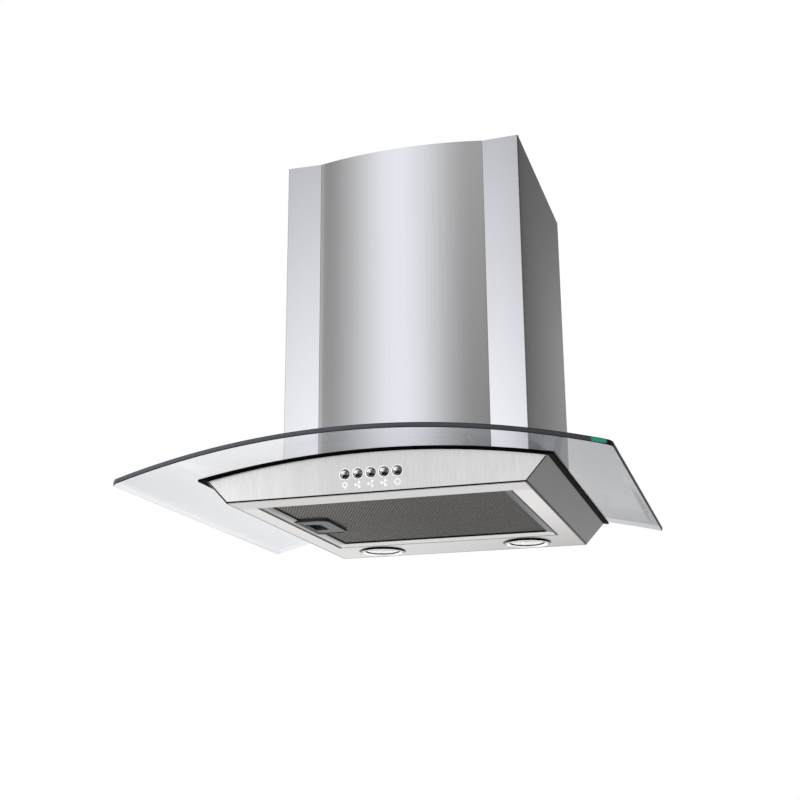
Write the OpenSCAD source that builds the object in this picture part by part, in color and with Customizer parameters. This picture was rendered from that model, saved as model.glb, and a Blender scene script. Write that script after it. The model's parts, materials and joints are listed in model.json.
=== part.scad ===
// Wall-mounted chimney cooker hood with an arched glass canopy.
// The frame stands on the wall: X runs along it, +Y goes into it and +Z is up.
// The origin is the middle of the four wall screws, on the wall's face.
// Heights below are measured from the flat underside unless a comment says otherwise.

/* [Glass canopy] */
// Width of the glass
glass_w = 600; // [560:10:700]
// Depth of the glass at its front corners
glass_d = 525; // [500:5:560]
// How far the front edge bows out at the middle
glass_bow = 10; // [5:1:20]
// Thickness of the glass
glass_t = 6; // [5:0.5:8]
// Rise of the arch from its side edges to its middle
glass_rise = 40; // [36:1:46]
// Height of the glass's lower face at its side edges
glass_edge_z = 13; // [11:1:18]
// Radius of the front corners
glass_corner_r = 8; // [4:1:16]
// Radius of the back corners
glass_back_r = 3; // [2:0.5:8]

/* [Body] */
// Width of the flat underside
under_w = 376; // [364:2:396]
// Width of the body under the glass
body_w = 430; // [420:2:450]
// Depth of the underside in front of the cassette
front_margin = 38.5; // [36.5:1:50.5]
// Forward lean of the front panel, in degrees
front_lean = 4.75; // [2:0.25:8]
// Thickness of the body's sheet steel
sheet_t = 0.8; // [0.6:0.1:1.2]
// Width of the shadow gaps at the front panel's slanted edges
seam = 1.2; // [0.6:0.1:1.6]
// Height of the shadow gap under the front panel
front_seam = 1.6; // [1:0.1:2.4]
// Thickness of the rubber seal under the glass
seal_t = 3; // [2:0.5:5]
// How far the seal stands out from the body
seal_out = 8; // [4:1:12]
// Thickness of the plate that carries the glass
carrier_t = 1.2; // [1:0.1:2]

/* [Grease filter] */
// Width of the filter cassette
filter_w = 325; // [300:1:330]
// Depth of the filter cassette
filter_d = 307; // [280:1:310]
// Height of the filter cassette
filter_h = 10; // [9:0.5:12]
// Play between the cassette and its opening, all round
filter_play = 1; // [0.5:0.1:1.2]
// Width of the bevelled border round the net
filter_border = 13; // [10:0.5:18]
// Height that the border's bevel climbs
filter_bevel = 3; // [2:0.5:3.5]
// Rows of gaps in the net, across the hood
net_cols = 18; // [10:1:18]
// Rows of gaps in the net, from front to back
net_rows = 16; // [10:1:16]
// Width of a strand of the net
net_strand = 2.2; // [1.6:0.2:3]
// Length of the finger pull
pull_l = 92; // [80:2:100]
// Width of the finger pull
pull_w = 46; // [40:1:50]
// Travel of the latch
latch_travel = 6; // [5.5:0.5:7]

/* [Lamps] */
// Diameter of the lamp's ring
lamp_d = 70; // [64:1:74]
// Distance of each lamp from the middle
lamp_x = 110; // [90:1:125]
// Distance of the lamps from the wall
lamp_back = 50; // [45:1:52]
// Gap between the lamps' rings and the cassette
lamp_gap = 7.5; // [5.5:0.5:11.5]
// How far the ring hangs below the underside
lamp_drop = 3; // [2:0.5:5]

/* [Push buttons] */
// Diameter of a button
button_d = 11; // [9:0.5:13]
// Distance between two buttons
button_pitch = 16.5; // [15:0.5:19]
// Height of the buttons, measured up the front panel
button_up = 25.5; // [24:0.5:27]
// How far a button stands out of the panel
button_out = 5; // [4.5:0.25:6]
// Travel of a button
button_travel = 3; // [2:0.25:3.5]

/* [Chimney] */
// Width of the chimney
chimney_w = 336; // [330:2:350]
// Depth of the chimney at its front strips
chimney_d = 307; // [300:1:320]
// Height of the chimney's top
chimney_top = 516; // [480:2:560]
// Width of the satin strip at each side of the front
strip_w = 50; // [45:1:56]
// How far a strip's inner edge lies behind its outer one
strip_back = 1.5; // [0.5:0.25:3]
// Bulge of the polished front between the strips
front_bulge = 14; // [10:1:20]
// Thickness of the chimney's sheet
chimney_t = 0.8; // [0.6:0.1:1.2]
// Gap between the chimney and its sliding extension
ext_gap = 1.8; // [1.4:0.1:2.5]
// Depth of the extension's top edge below the chimney's
ext_sunk = 4; // [2:1:10]
// Air slots in each side of the extension
slot_count = 6; // [3:1:8]

/* [Blower] */
// Width of the blower box
box_w = 264; // [256:2:270]
// Depth of the blower box
box_d = 262; // [262:1:268]
// Height of the box's top
box_top = 305; // [302:1:315]
// Thickness of the box's sheet
box_t = 1.2; // [1:0.1:1.6]
// Diameter of the fan wheel
fan_d = 150; // [140:2:152]
// Width of the fan wheel
fan_w = 112; // [104:2:114]
// Number of its blades
blade_count = 36; // [24:2:40]
// Distance of the fan's axis from the wall
fan_back = 108; // [108:1:112]
// Height of the fan's axis
fan_z = 185; // [182:1:190]
// Diameter of the motor
motor_d = 84; // [76:2:90]
// Diameter of the motor's shaft
shaft_d = 8; // [6:0.5:10]
// Radius of the scroll where it starts
scroll_r0 = 85; // [83:1:86]
// Radius of the scroll at its outlet
scroll_r1 = 125; // [120:1:126]
// Width of the scroll inside
scroll_w = 120; // [118:1:124]
// Outer diameter of the duct collar
duct_d = 150; // [146:1:152]
// Height of the duct collar
collar_h = 50; // [45:1:70]
// Distance of the collar's middle from the wall
collar_back = 178; // [176:1:180]

/* [Wall fixing] */
// Height of the wall screws' middle above the underside
hang = 200; // [190:1:210]
// Half of the distance between the screws along the wall
screw_x = 142; // [140:0.5:144]
// Distance between the upper and the lower screws
screw_dz = 140; // [120:2:160]
// Diameter of a screw's hole
screw_hole = 8; // [5:0.5:9]
// Thickness of the hanging plate
hanger_t = 2; // [1.5:0.1:2.5]

/* [Hidden] */
$fn = 64;
// Segments of the large arcs
arc_fn = 240;
// Clearance between pieces that seat on each other
seat = 0.3;
// Overlap that joins the shapes of one piece
join = 0.05;
// Overshoot of a cut
cut = 1;
// Overshoot of a profile that another shape trims
spare = 50;
// Height of a cutter that rises through everything under the chimney
tall = 200;

// The cassette's place and the body's depth
filter_back = lamp_back + lamp_d / 2 + lamp_gap + filter_d / 2;
body_d = filter_back + filter_d / 2 + front_margin;
// The arch of the glass: its radius at the lower face and the height of its axis
glass_r = (pow(glass_w / 2, 2) + pow(glass_rise, 2)) / (2 * glass_rise);
arch_cz = glass_edge_z + glass_rise - glass_r;
function arch_z(x, h = 0) = arch_cz + sqrt(pow(glass_r + h, 2) - x * x);
function arch_angle(x, h = 0) = asin(x / (glass_r + h));
// Levels measured up from the glass's lower face
seal_h = -seal_t;
carrier_h = seal_h - carrier_t;
chimney_h = glass_t + seat;
flange_h = chimney_h + box_t;
// The glass in plan
bow_r = (pow(glass_w / 2, 2) + pow(glass_bow, 2)) / (2 * glass_bow);
bow_cy = bow_r - glass_bow - glass_d;
glass_back_gap = 1;

// The body
side_top = arch_z(body_w / 2, seal_h);
side_run = (body_w - under_w) / 2;
side_a = atan2(side_top, side_run);
lip_h = 8;
open_w = filter_w + 2 * filter_play;
open_d = filter_d + 2 * filter_play;
filter_lift = 0.4;
// The air hole through the glass, its seal and its carrier
air_w = 240;
air_front = 240;
air_back = 30;
air_r = 12;
seal_band = 24;
bolt_r = 3;
bolt_x = box_w / 2 + 10;
bolt_ys = [-42, -222];
bush_hole_r = 5;
pad_edge = 14;

// The filter
border_in_w = filter_w - 2 * filter_border;
border_in_d = filter_d - 2 * filter_border;
frame_wall = 1;
net_w = filter_w - 2 * frame_wall - 1;
net_d = filter_d - 2 * frame_wall - 1;
net_t = 0.6;
net_z = filter_lift + filter_bevel + 1.1;
hem_t = 0.8;
core_z = net_z + net_t + 0.1;
net_top_z = filter_lift + filter_h - hem_t - 0.1 - net_t;
core_t = net_top_z - 0.1 - core_z;
pull_x = -filter_w / 2 + 5.5;
pull_r = 12;
pull_h = 7.6;
pull_z = filter_lift + 0.6;
tongue_w = 24;
tongue_z = 3.6;
tongue_t = 2;
tongue_free = 1.2;
tongue_reach = filter_play + latch_travel - tongue_free;
slide_w = 30;
lug_t = 3.6;
tab_w = 22;
tab_t = 1.2;
tab_reach = filter_play + 5.8;
tab_y = filter_d / 2 - 60;

// The lamps
ring_lap = 3.6;
ring_bead = 2;
lens_inset = 9.5;
lens_lip = 1.4;
lens_t = 2.6;
lens_rest = 1.2;
spigot_h = 9;
spigot_t = 2.3;
lamp_hole_r = lamp_d / 2 - ring_lap;
can_gap = 4;
can_t = 1;
can_flange = 1.4;
can_flange_t = 1.2;
holder_r = 8;
holder_h = 9;
bulb_r = 4.5;
bulb_drop = 18;

// The controls
button_count = 5;
stem_r = 3;
stem_l = 18;
button_flange_t = 1.2;
button_flange = 1.1;
bracket_gap = sheet_t + seat + button_flange_t + button_travel + 1.1;
bracket_t = 1.2;
block_l = 96;
block_h = 24;
block_d = 28;
block_gap = bracket_gap + bracket_t;

// The chimney
strip_x = chimney_w / 2 - strip_w;
front_r = (strip_x * strip_x + front_bulge * front_bulge) / (2 * front_bulge);
front_cy = front_r - front_bulge - chimney_d + strip_back;
chimney_seam = 0.6;
tuck_w = 12;
back_flange = 13;
foot_flange = 10;
ext_inset = 2 * chimney_t + 0.1 + ext_gap;
ext_back = 28;
ext_top = chimney_top - ext_sunk;
slot_l = 70;
slot_h = 5;
slot_pitch = 13;
arm_l = 60;
ceiling_h = 30;
ceiling_t = 1.5;
ceiling_w = 300;
ceiling_hole_x = 110;

// The hanging plate
hanger_w = chimney_w - 2 * (back_flange + chimney_t + 0.2);
hanger_low = hang - screw_dz / 2 - 30;
hanger_top = hang + screw_dz / 2 + 30;
ear_d = 22;
clip_h = 14;
clip_t = 0.6;

// The blower
box_y = -hanger_t;
fan_y = -fan_back;
blade_in_r = fan_d / 2 - 12;
blade_t = 1;
fan_disc_x = 12;
scroll_t = 1;
tongue_a = 100;
scroll_sweep = 280;
outlet_r = 57;
bell_r = 7;
inlet_r = fan_d / 2 - 11;
spider_x = -scroll_w / 2 - 10;
spider_t = 1.6;
spider_r = fan_d / 2 + 3;
spider_arm_w = 16;
spider_hub_r = motor_d / 4 + 6;
bush_r = 5.4;
bush_groove_r = 3;
bush_groove_at = 7.2;
ring_w = 3;
ring_in_r = blade_in_r + 3;
disc_r = blade_in_r + 3;
disc_t = 1.6;
hub_r = 13;
hub_l = 14;
notch_play = 0.1;
collar_t = 2.5;
collar_y = -collar_back;
collar_z = box_top + box_t;
flange_r = duct_d / 2 + 9;
flap_t = 1.5;
flap_pin_r = 1.5;
knuckle_r = 2.8;
flap_rise = 24;
flap_z = collar_z + flap_rise;
ledge_w = 6;
flap_r = duct_d / 2 - collar_t - 0.9;

// Places a shape drawn from the underside
module from_underside() {
    translate([0, 0, -hang]) children();
}

// Gives a profile drawn in X and Z its depth, from y_front to y_back
module along_y(y_front, y_back) {
    translate([0, y_back, 0])
        rotate([90, 0, 0])
            linear_extrude(height = y_back - y_front)
                children();
}

// Gives a profile drawn in Y and Z its width, from x1 to x2
module along_x(x1, x2) {
    translate([x1, 0, 0])
        rotate([90, 0, 90])
            linear_extrude(height = x2 - x1)
                children();
}

// A block between two corners
module block(low, high) {
    translate(low) cube(high - low);
}

// Everything under the arch that lies h above the glass's lower face
module arch_disc(h) {
    translate([0, arch_cz]) circle(r = glass_r + h, $fn = arc_fn);
}

// The band between two levels of the arch
module arch_band(h1, h2) {
    difference() {
        arch_disc(h2);
        arch_disc(h1);
    }
}

// The space under the arch, from front to back
module arch_space(h) {
    along_y(-glass_d - 2 * spare, 2 * spare) arch_disc(h);
}

// Turns a shape made at the crown to the place x on the arch, at level h
module on_arch(x, h) {
    translate([0, 0, arch_cz])
        rotate([0, arch_angle(x, h), 0])
            translate([0, 0, -arch_cz])
                children();
}

// A rectangle about a middle, with true round corners
module round_rect(w, d, r) {
    for (x = [-1, 1], y = [-1, 1])
        translate([x * (w / 2 - r), y * (d / 2 - r)]) circle(r = r);
    square([w, d - 2 * r], center = true);
    square([w - 2 * r, d], center = true);
}

// Cross-section of the body in X and Z, drawn in by a sheet's thickness
module body_section(inset, h_top) {
    run = inset / sin(side_a);
    slope = side_run / side_top;
    high = 2 * side_top + 60;
    intersection() {
        polygon([
            [-under_w / 2 + run, 0], [under_w / 2 - run, 0],
            [under_w / 2 - run + slope * high, high], [-under_w / 2 + run - slope * high, high]
        ]);
        arch_disc(h_top);
    }
}

// The space behind the leaning front, drawn in by inset
module behind_front(inset) {
    low = -30;
    high = 150;
    step = inset / cos(front_lean);
    along_x(-body_w, body_w)
        polygon([
            [-body_d + step - low * tan(front_lean), low],
            [-body_d + step - high * tan(front_lean), high],
            [0, high], [0, low]
        ]);
}

// Stands a shape on the front panel: Y goes into the hood and Z up the panel
module on_front(x, up) {
    translate([0, -body_d, 0])
        rotate([front_lean, 0, 0])
            translate([x, 0, up])
                children();
}

// Plan of the glass, with a corner cut square and its arc put back
module glass_plan() {
    corner_x = glass_w / 2 - glass_corner_r;
    corner_y = bow_cy - sqrt(pow(bow_r - glass_corner_r, 2) - pow(corner_x, 2));
    lean = atan2(corner_x, bow_cy - corner_y);
    reach = 2 * glass_corner_r;
    back_x = glass_w / 2 - glass_back_r;
    back_y = -glass_back_gap - glass_back_r;
    difference() {
        intersection() {
            translate([-glass_w / 2, -glass_d - glass_bow])
                square([glass_w, glass_d + glass_bow - glass_back_gap]);
            translate([0, bow_cy]) circle(r = bow_r, $fn = 4 * arc_fn);
        }
        for (side = [-1, 1]) {
            polygon([
                [side * corner_x, corner_y],
                [side * (corner_x + reach), corner_y],
                [side * (corner_x + reach), corner_y - reach],
                [side * (corner_x + reach * sin(lean)), corner_y - reach * cos(lean)]
            ]);
            translate([side * (back_x + reach / 2), back_y + reach / 2])
                square(reach, center = true);
        }
    }
    for (side = [-1, 1]) {
        translate([side * corner_x, corner_y]) circle(r = glass_corner_r);
        translate([side * back_x, back_y]) circle(r = glass_back_r);
    }
}

// Plan of the air hole
module air_hole_plan() {
    translate([0, -(air_front + air_back) / 2])
        round_rect(air_w, air_front - air_back, air_r);
}

// The four bolts' places, with a shape upright on the arch
module at_bolts() {
    for (y = bolt_ys, side = [-1, 1])
        on_arch(side * bolt_x, 0) translate([0, y, 0]) children();
}

module bolt_holes(r) {
    at_bolts()
        translate([0, 0, arch_z(0) - 60]) cylinder(r = r, h = 120);
}

// Flat steel underside, with the filter's opening, its turned-up lip and two lamp holes
module underside_panel() {
    color("#e4e2e0") from_underside()
    difference() {
        union() {
            intersection() {
                block([-under_w / 2, -body_d, 0], [under_w / 2, -sheet_t - seam, sheet_t]);
                along_y(-body_d, 0) body_section(sheet_t + seat, seal_h);
            }
            translate([0, -filter_back, 0])
                linear_extrude(height = lip_h)
                    square([open_w + 2 * sheet_t, open_d + 2 * sheet_t], center = true);
        }
        translate([0, -filter_back, -cut])
            linear_extrude(height = lip_h + 2 * cut)
                square([open_w, open_d], center = true);
        for (side = [-1, 1])
            translate([side * lamp_x, -lamp_back, -cut])
                cylinder(r = lamp_hole_r, h = sheet_t + 2 * cut);
        // Notches for the cassette's hinge tabs
        for (side = [-1, 1])
            block(
                [open_w / 2 - cut, -filter_back + side * tab_y - tab_w / 2 - 1, sheet_t],
                [open_w / 2 + sheet_t + cut, -filter_back + side * tab_y + tab_w / 2 + 1, lip_h + cut]
            );
        // Slot for the latch's tongue
        block(
            [-open_w / 2 - sheet_t - cut, -filter_back - tongue_w / 2 - 0.5, tongue_z - seat],
            [-open_w / 2 + cut, -filter_back + tongue_w / 2 + 0.5, tongue_z + tongue_t + seat]
        );
    }
}

// One slanting side panel, from the front's plane to the back panel
module side_panel() {
    intersection() {
        along_y(-body_d - spare, -sheet_t - join)
            difference() {
                body_section(0, seal_h);
                body_section(sheet_t, seal_h + cut);
                translate([-body_w, -cut]) square([body_w, tall]);
            }
        behind_front(0);
    }
}

module side_panel_left() {
    color("#8a8a8a") from_underside() mirror([1, 0, 0]) side_panel();
}

module side_panel_right() {
    color("#808080") from_underside() side_panel();
}

// Leaning front panel, arched at its top, with the buttons' holes
module front_panel() {
    color("#dedfdd") from_underside()
    difference() {
        intersection() {
            along_y(-body_d - spare, 0)
                difference() {
                    body_section(sheet_t + seam, seal_h);
                    translate([-body_w, -cut]) square([2 * body_w, sheet_t + front_seam + cut]);
                }
            difference() {
                behind_front(0);
                behind_front(sheet_t);
            }
        }
        for (i = [0 : button_count - 1])
            on_front(button_x(i), button_up)
                rotate([-90, 0, 0])
                    translate([0, 0, -cut]) cylinder(r = button_d / 2 + 0.35, h = sheet_t + 2 * cut);
    }
}

// Upright back panel against the wall
module back_panel() {
    color("#b9bbbc") from_underside()
    along_y(-sheet_t, 0) body_section(0, seal_h);
}

// Arched plate that carries the glass and closes the body's top
module glass_carrier() {
    color("#c2c4c6") from_underside()
    difference() {
        intersection() {
            along_y(-body_d - spare, -sheet_t - 0.1)
                intersection() {
                    arch_band(carrier_h, seal_h);
                    body_section(sheet_t + 0.1, seal_h);
                }
            behind_front(sheet_t + 0.1);
        }
        linear_extrude(height = tall) air_hole_plan();
        bolt_holes(bolt_r + 0.3);
    }
}

// Plan of the seal: a band under the glass's edge of the body, and a pad round the air hole
module seal_plan() {
    front = round(body_d + (side_top + arch_z(0)) / 2 * tan(front_lean));
    window_d = front - 2 * seal_band;
    pad_w = 2 * (bolt_x + pad_edge);
    difference() {
        union() {
            difference() {
                translate([-body_w / 2 - seal_out, -front - seal_out])
                    square([body_w + 2 * seal_out, front + seal_out - glass_back_gap]);
                translate([0, -seal_band - window_d / 2])
                    round_rect(body_w - 2 * seal_band, window_d, air_r);
            }
            translate([-pad_w / 2, -air_front - pad_edge]) square([pad_w, air_front]);
        }
        air_hole_plan();
    }
}

// Black rubber seal between the body and the glass
module glass_seal() {
    color("#151515") from_underside()
    difference() {
        intersection() {
            along_y(-glass_d, 0) arch_band(seal_h, 0);
            linear_extrude(height = tall) seal_plan();
        }
        bolt_holes(bush_hole_r + 0.1);
    }
}

// Arched toughened glass, with its air hole and four bolt holes
module glass_canopy() {
    color("#cfd6da", 0.45) from_underside()
    difference() {
        intersection() {
            along_y(-glass_d - spare, 0) arch_band(0, glass_t);
            linear_extrude(height = tall) glass_plan();
        }
        linear_extrude(height = tall) air_hole_plan();
        bolt_holes(bush_hole_r + 0.1);
    }
}

// Rubber bushes in the glass's bolt holes
module glass_bushes() {
    color("#222222") from_underside()
    at_bolts()
        translate([0, 0, arch_z(0, seal_h)])
            difference() {
                cylinder(r = bush_hole_r, h = seal_t + glass_t + seat - 0.1);
                translate([0, 0, -cut]) cylinder(r = bolt_r + 0.1, h = 40);
            }
}

// Bolts that clamp the blower box, the glass and the carrier together
module glass_bolts() {
    grip = seal_t + glass_t + seat + box_t + carrier_t;
    color("#b0b0b0") from_underside()
    at_bolts()
        translate([0, 0, arch_z(0, carrier_h)]) {
            translate([0, 0, -2.6]) cylinder(r = 5.2, h = 2.4);
            translate([0, 0, -0.4]) cylinder(r = bolt_r, h = grip + 7);
            translate([0, 0, grip + 0.3])
                difference() {
                    cylinder(r = 5.6, h = 4.6, $fn = 6);
                    translate([0, 0, -cut]) cylinder(r = bolt_r - join, h = 8);
                }
        }
}

// Steel plate that hangs the hood on the wall, with two ears for the chimney's clips
module hanger_plate() {
    color("#a9abad") from_underside()
    difference() {
        union() {
            block([-hanger_w / 2, -hanger_t, hanger_low], [hanger_w / 2, 0, hanger_top]);
            for (side = [-1, 1])
                translate([side * (hanger_w / 2 - hanger_t / 2), -ear_d / 2, hang])
                    cube([hanger_t, ear_d, hanger_top - hanger_low], center = true);
        }
        for (x = [-1, 1], z = [-1, 1])
            translate([x * screw_x, cut, hang + z * screw_dz / 2])
                rotate([90, 0, 0]) cylinder(r = screw_hole / 2, h = hanger_t + 2 * cut);
    }
}

// Open-bottomed sheet box round the blower, with flanges that stand on the glass
module blower_box() {
    color("#b4b6b8") from_underside()
    difference() {
        union() {
            difference() {
                block([-box_w / 2, box_y - box_d, 0], [box_w / 2, box_y, box_top]);
                block(
                    [-box_w / 2 + box_t, box_y - box_d + box_t, -cut],
                    [box_w / 2 - box_t, box_y - box_t, box_top + cut]
                );
                arch_space(chimney_h);
            }
            along_y(box_y - box_d, box_y)
                intersection() {
                    arch_band(chimney_h, flange_h);
                    for (side = [-1, 1])
                        translate([side * (box_w / 2 + 10 - box_t / 2) - 10 - box_t / 2, 0])
                            square([20 + box_t, tall]);
                }
        }
        bolt_holes(bolt_r + 0.3);
    }
}

// Lid of the blower box, with the outlet hole
module box_top_plate() {
    color("#bcbec0") from_underside()
    difference() {
        block([-box_w / 2, box_y - box_d, box_top], [box_w / 2, box_y, collar_z]);
        translate([0, collar_y, box_top - cut]) cylinder(r = outlet_r, h = box_t + 2 * cut);
    }
}

// Pan-head screws of the lid, the duct collar and the switch block's bracket
module pan_screws() {
    color("#a0a0a0") from_underside() {
        for (x = [-1, 1], y = [box_y - 12, box_y - box_d + 12])
            translate([x * (box_w / 2 - 12), y, collar_z])
                pan_head(3.4, 2.2);
        for (a = [0 : 3])
            translate([0, collar_y, collar_z + collar_t])
                rotate([0, 0, 45 + 90 * a])
                    translate([duct_d / 2 + 5, 0, 0])
                        pan_head(3, 2);
        on_front(0, button_up)
            for (side = [-1, 1])
                translate([side * (block_l / 2 - 5), bracket_gap, 7])
                    rotate([90, 0, 0]) pan_head(3, 1.8);
    }
}

// A domed screw head
module pan_head(r, h) {
    rotate_extrude()
        intersection() {
            square([r, h]);
            translate([0, h - r * 1.6]) circle(r = r * 1.6);
        }
}

// Radius of the scroll after it has swept s degrees from its tongue
function scroll_r(s) = scroll_r0 + (scroll_r1 - scroll_r0) * s / scroll_sweep;
// A point of the scroll, out by the distance out
function scroll_p(s, out = 0) =
    let (r = scroll_r(s) + out, a = tongue_a - s)
    [fan_y + r * cos(a), fan_z + r * sin(a)];
scroll_step = 10;
scroll_in = [for (s = [0 : scroll_step : scroll_sweep]) scroll_p(s)];
// Where the tongue's wall stands, and where it leaves the scroll's outer face
tongue_y = scroll_p(0)[0];
tongue_wall = tongue_y + scroll_t;
tongue_foot = fan_z + sqrt(pow(scroll_r0 + scroll_t, 2) - pow(tongue_wall - fan_y, 2));
scroll_out = concat(
    [[fan_y - scroll_r1 - scroll_t, box_top]],
    [for (s = [scroll_sweep : -scroll_step : scroll_step]) scroll_p(s, scroll_t)],
    [[tongue_wall, tongue_foot], [tongue_wall, box_top]]
);

// Spiral sheet of the blower's casing, open upwards at its outlet
module scroll_wrap() {
    color("#d8d8d6") from_underside()
    along_x(-scroll_w / 2, scroll_w / 2)
        polygon(concat(
            [[tongue_y, box_top]], scroll_in, [[fan_y - scroll_r1, box_top]], scroll_out
        ));
}

// One cheek of the casing, with its bell-mouthed inlet
module scroll_cheek() {
    along_x(scroll_w / 2, scroll_w / 2 + scroll_t)
        difference() {
            polygon(scroll_out);
            translate([fan_y, fan_z]) circle(r = inlet_r + scroll_t / 2);
        }
    translate([scroll_w / 2 + scroll_t - join, fan_y, fan_z])
        rotate([0, 90, 0])
            rotate_extrude()
                intersection() {
                    difference() {
                        translate([inlet_r + bell_r, 0]) circle(r = bell_r);
                        translate([inlet_r + bell_r, 0]) circle(r = bell_r - scroll_t);
                    }
                    translate([inlet_r, 0]) square(bell_r);
                }
}

module scroll_cheek_left() {
    color("#cfcfcd") from_underside() mirror([1, 0, 0]) scroll_cheek();
}

module scroll_cheek_right() {
    color("#cfcfcd") from_underside() scroll_cheek();
}

// Places a shape on the fan's axis, which runs along X
module on_fan_axis(x) {
    translate([x, fan_y, fan_z]) rotate([0, 90, 0]) children();
}

// Motor, with its end cap, cooling ribs and shaft bore
module motor_body() {
    motor_l = fan_disc_x + scroll_w / 2 - 14;
    color("#3c3f42") from_underside()
    on_fan_axis(spider_x + spider_t)
        difference() {
            union() {
                cylinder(r = motor_d / 4, h = 12);
                translate([0, 0, 10]) cylinder(r = motor_d / 2 - 2, h = motor_l);
                for (i = [0 : 6])
                    translate([0, 0, 16 + i * (motor_l - 12) / 6]) cylinder(r = motor_d / 2, h = 3);
            }
            translate([0, 0, -cut]) cylinder(r = shaft_d / 2 + 0.05, h = motor_l + 30);
        }
}

// Angles of the spider's arms
spider_arms = [90, 210, 330];

// Three-armed spider that carries the motor in the left inlet
module motor_spider() {
    color("#9a9c9e") from_underside()
    on_fan_axis(spider_x)
        difference() {
            union() {
                cylinder(r = spider_hub_r, h = spider_t);
                for (a = spider_arms)
                    rotate([0, 0, a + 90]) {
                        translate([0, -spider_arm_w / 2, 0]) cube([spider_r, spider_arm_w, spider_t]);
                        translate([spider_r, 0, 0]) cylinder(r = spider_arm_w / 2, h = spider_t);
                    }
            }
            translate([0, 0, -cut]) cylinder(r = shaft_d / 2 + 1.5, h = spider_t + 2 * cut);
        }
}

// Rubber bushes between the spider and the casing
module motor_bushes() {
    bush_l = -scroll_w / 2 - scroll_t - spider_x - spider_t;
    color("#1d1d1d") from_underside()
    on_fan_axis(spider_x + spider_t)
        for (a = spider_arms)
            rotate([0, 0, a + 90])
                translate([spider_r, 0, 0])
                    rotate_extrude()
                        difference() {
                            square([bush_r, bush_l]);
                            translate([bush_groove_at, bush_l / 2]) circle(r = bush_groove_r);
                        }
}

capacitor_r = 16;
capacitor_l = 58;
capacitor_x = -box_w / 2 + 30;
capacitor_y = box_y - 24;
capacitor_z = collar_z + 18;
cap_stub_r = 9;
cap_stub_l = 5;

// Run capacitor, lying on the lid
module capacitor() {
    color("#e8e8e4") from_underside()
    translate([capacitor_x, capacitor_y, capacitor_z])
        rotate([90, 0, 0]) {
            cylinder(r = capacitor_r, h = capacitor_l);
            translate([0, 0, capacitor_l]) cylinder(r = cap_stub_r, h = cap_stub_l);
        }
}

clamp_w = 14;
clamp_t = 1.2;
clamp_foot = 26;

// Clamp of the capacitor: a strap over its middle, with two feet on the lid
module capacitor_clamp() {
    out_r = capacitor_r + clamp_t;
    high = capacitor_z - collar_z;
    color("#8f9193") from_underside()
    translate([capacitor_x, capacitor_y - (capacitor_l + clamp_w) / 2, collar_z])
        rotate([90, 0, 180])
            linear_extrude(height = clamp_w)
                difference() {
                    union() {
                        translate([0, high]) circle(r = out_r);
                        translate([-clamp_foot, 0]) square([2 * clamp_foot, clamp_t]);
                        translate([-out_r, 0]) square([2 * out_r, high]);
                    }
                    translate([0, high]) circle(r = capacitor_r + join);
                    translate([-capacitor_r, clamp_t])
                        square([2 * capacitor_r, high - clamp_t]);
                }
}

terminal_l = 70;
terminal_d = 44;
terminal_h = 30;
terminal_t = 2;
terminal_x = box_w / 2 - 20 - terminal_l;
terminal_y = box_y - 4 - terminal_d;
rim_out = 1.5;
rim_h = 8;
gland_x = terminal_l - 15;
gland_r = 6;
gland_bore_r = 3.6;
gland_depth = 3;
gland_h = 13;

// Box of the mains terminals, with its lid's rim
module terminal_box() {
    color("#2b2d2f") from_underside()
    translate([terminal_x, terminal_y, collar_z])
        difference() {
            union() {
                cube([terminal_l, terminal_d, terminal_h]);
                translate([-rim_out, -rim_out, terminal_h - rim_h])
                    cube([terminal_l + 2 * rim_out, terminal_d + 2 * rim_out, rim_h]);
            }
            block(
                [terminal_t, terminal_t, terminal_t],
                [terminal_l - terminal_t, terminal_d - terminal_t, terminal_h - terminal_t]
            );
            translate([gland_x, terminal_d / 2, terminal_h / 2])
                cylinder(r = gland_r + 0.1, h = terminal_h);
        }
}

// Gland for the mains lead, which comes down inside the chimney
module cable_gland() {
    nut_h = 4;
    color("#1c1c1c") from_underside()
    translate([terminal_x + gland_x, terminal_y + terminal_d / 2, collar_z + terminal_h])
        difference() {
            union() {
                translate([0, 0, -gland_depth]) cylinder(r = gland_r, h = gland_depth + nut_h);
                translate([0, 0, 0.1]) cylinder(r = gland_r + 1.8, h = nut_h, $fn = 6);
                translate([0, 0, nut_h])
                    cylinder(r1 = gland_r + 1.6, r2 = gland_bore_r + 1.8, h = gland_h - nut_h);
            }
            translate([0, 0, -gland_depth - cut])
                cylinder(r = gland_bore_r, h = gland_depth + gland_h + 2 * cut);
        }
}

// Round duct collar, with its base flange and the ledge that the flaps lie on
module duct_collar() {
    color("#303234") from_underside()
    translate([0, collar_y, 0])
        difference() {
            union() {
                translate([0, 0, collar_z]) cylinder(r = duct_d / 2, h = collar_h);
                translate([0, 0, collar_z]) cylinder(r = flange_r, h = collar_t);
            }
            translate([0, 0, flap_z - flap_t / 2 - seat])
                cylinder(r = duct_d / 2 - collar_t, h = collar_h);
            translate([0, 0, collar_z - cut])
                cylinder(r = duct_d / 2 - collar_t - ledge_w, h = collar_h + 2 * cut);
            translate([0, 0, collar_z - cut])
                cylinder(
                    r = duct_d / 2 - collar_t,
                    h = flap_z - flap_t / 2 - seat - 2 - collar_z + cut
                );
            translate([-duct_d / 2 + collar_t, -5, flap_z - knuckle_r - 1])
                cube([duct_d - 2 * collar_t, 10, 10]);
            translate([-duct_d, 0, flap_z])
                rotate([0, 90, 0]) cylinder(r = flap_pin_r + 0.02, h = 2 * duct_d);
        }
}

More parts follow.
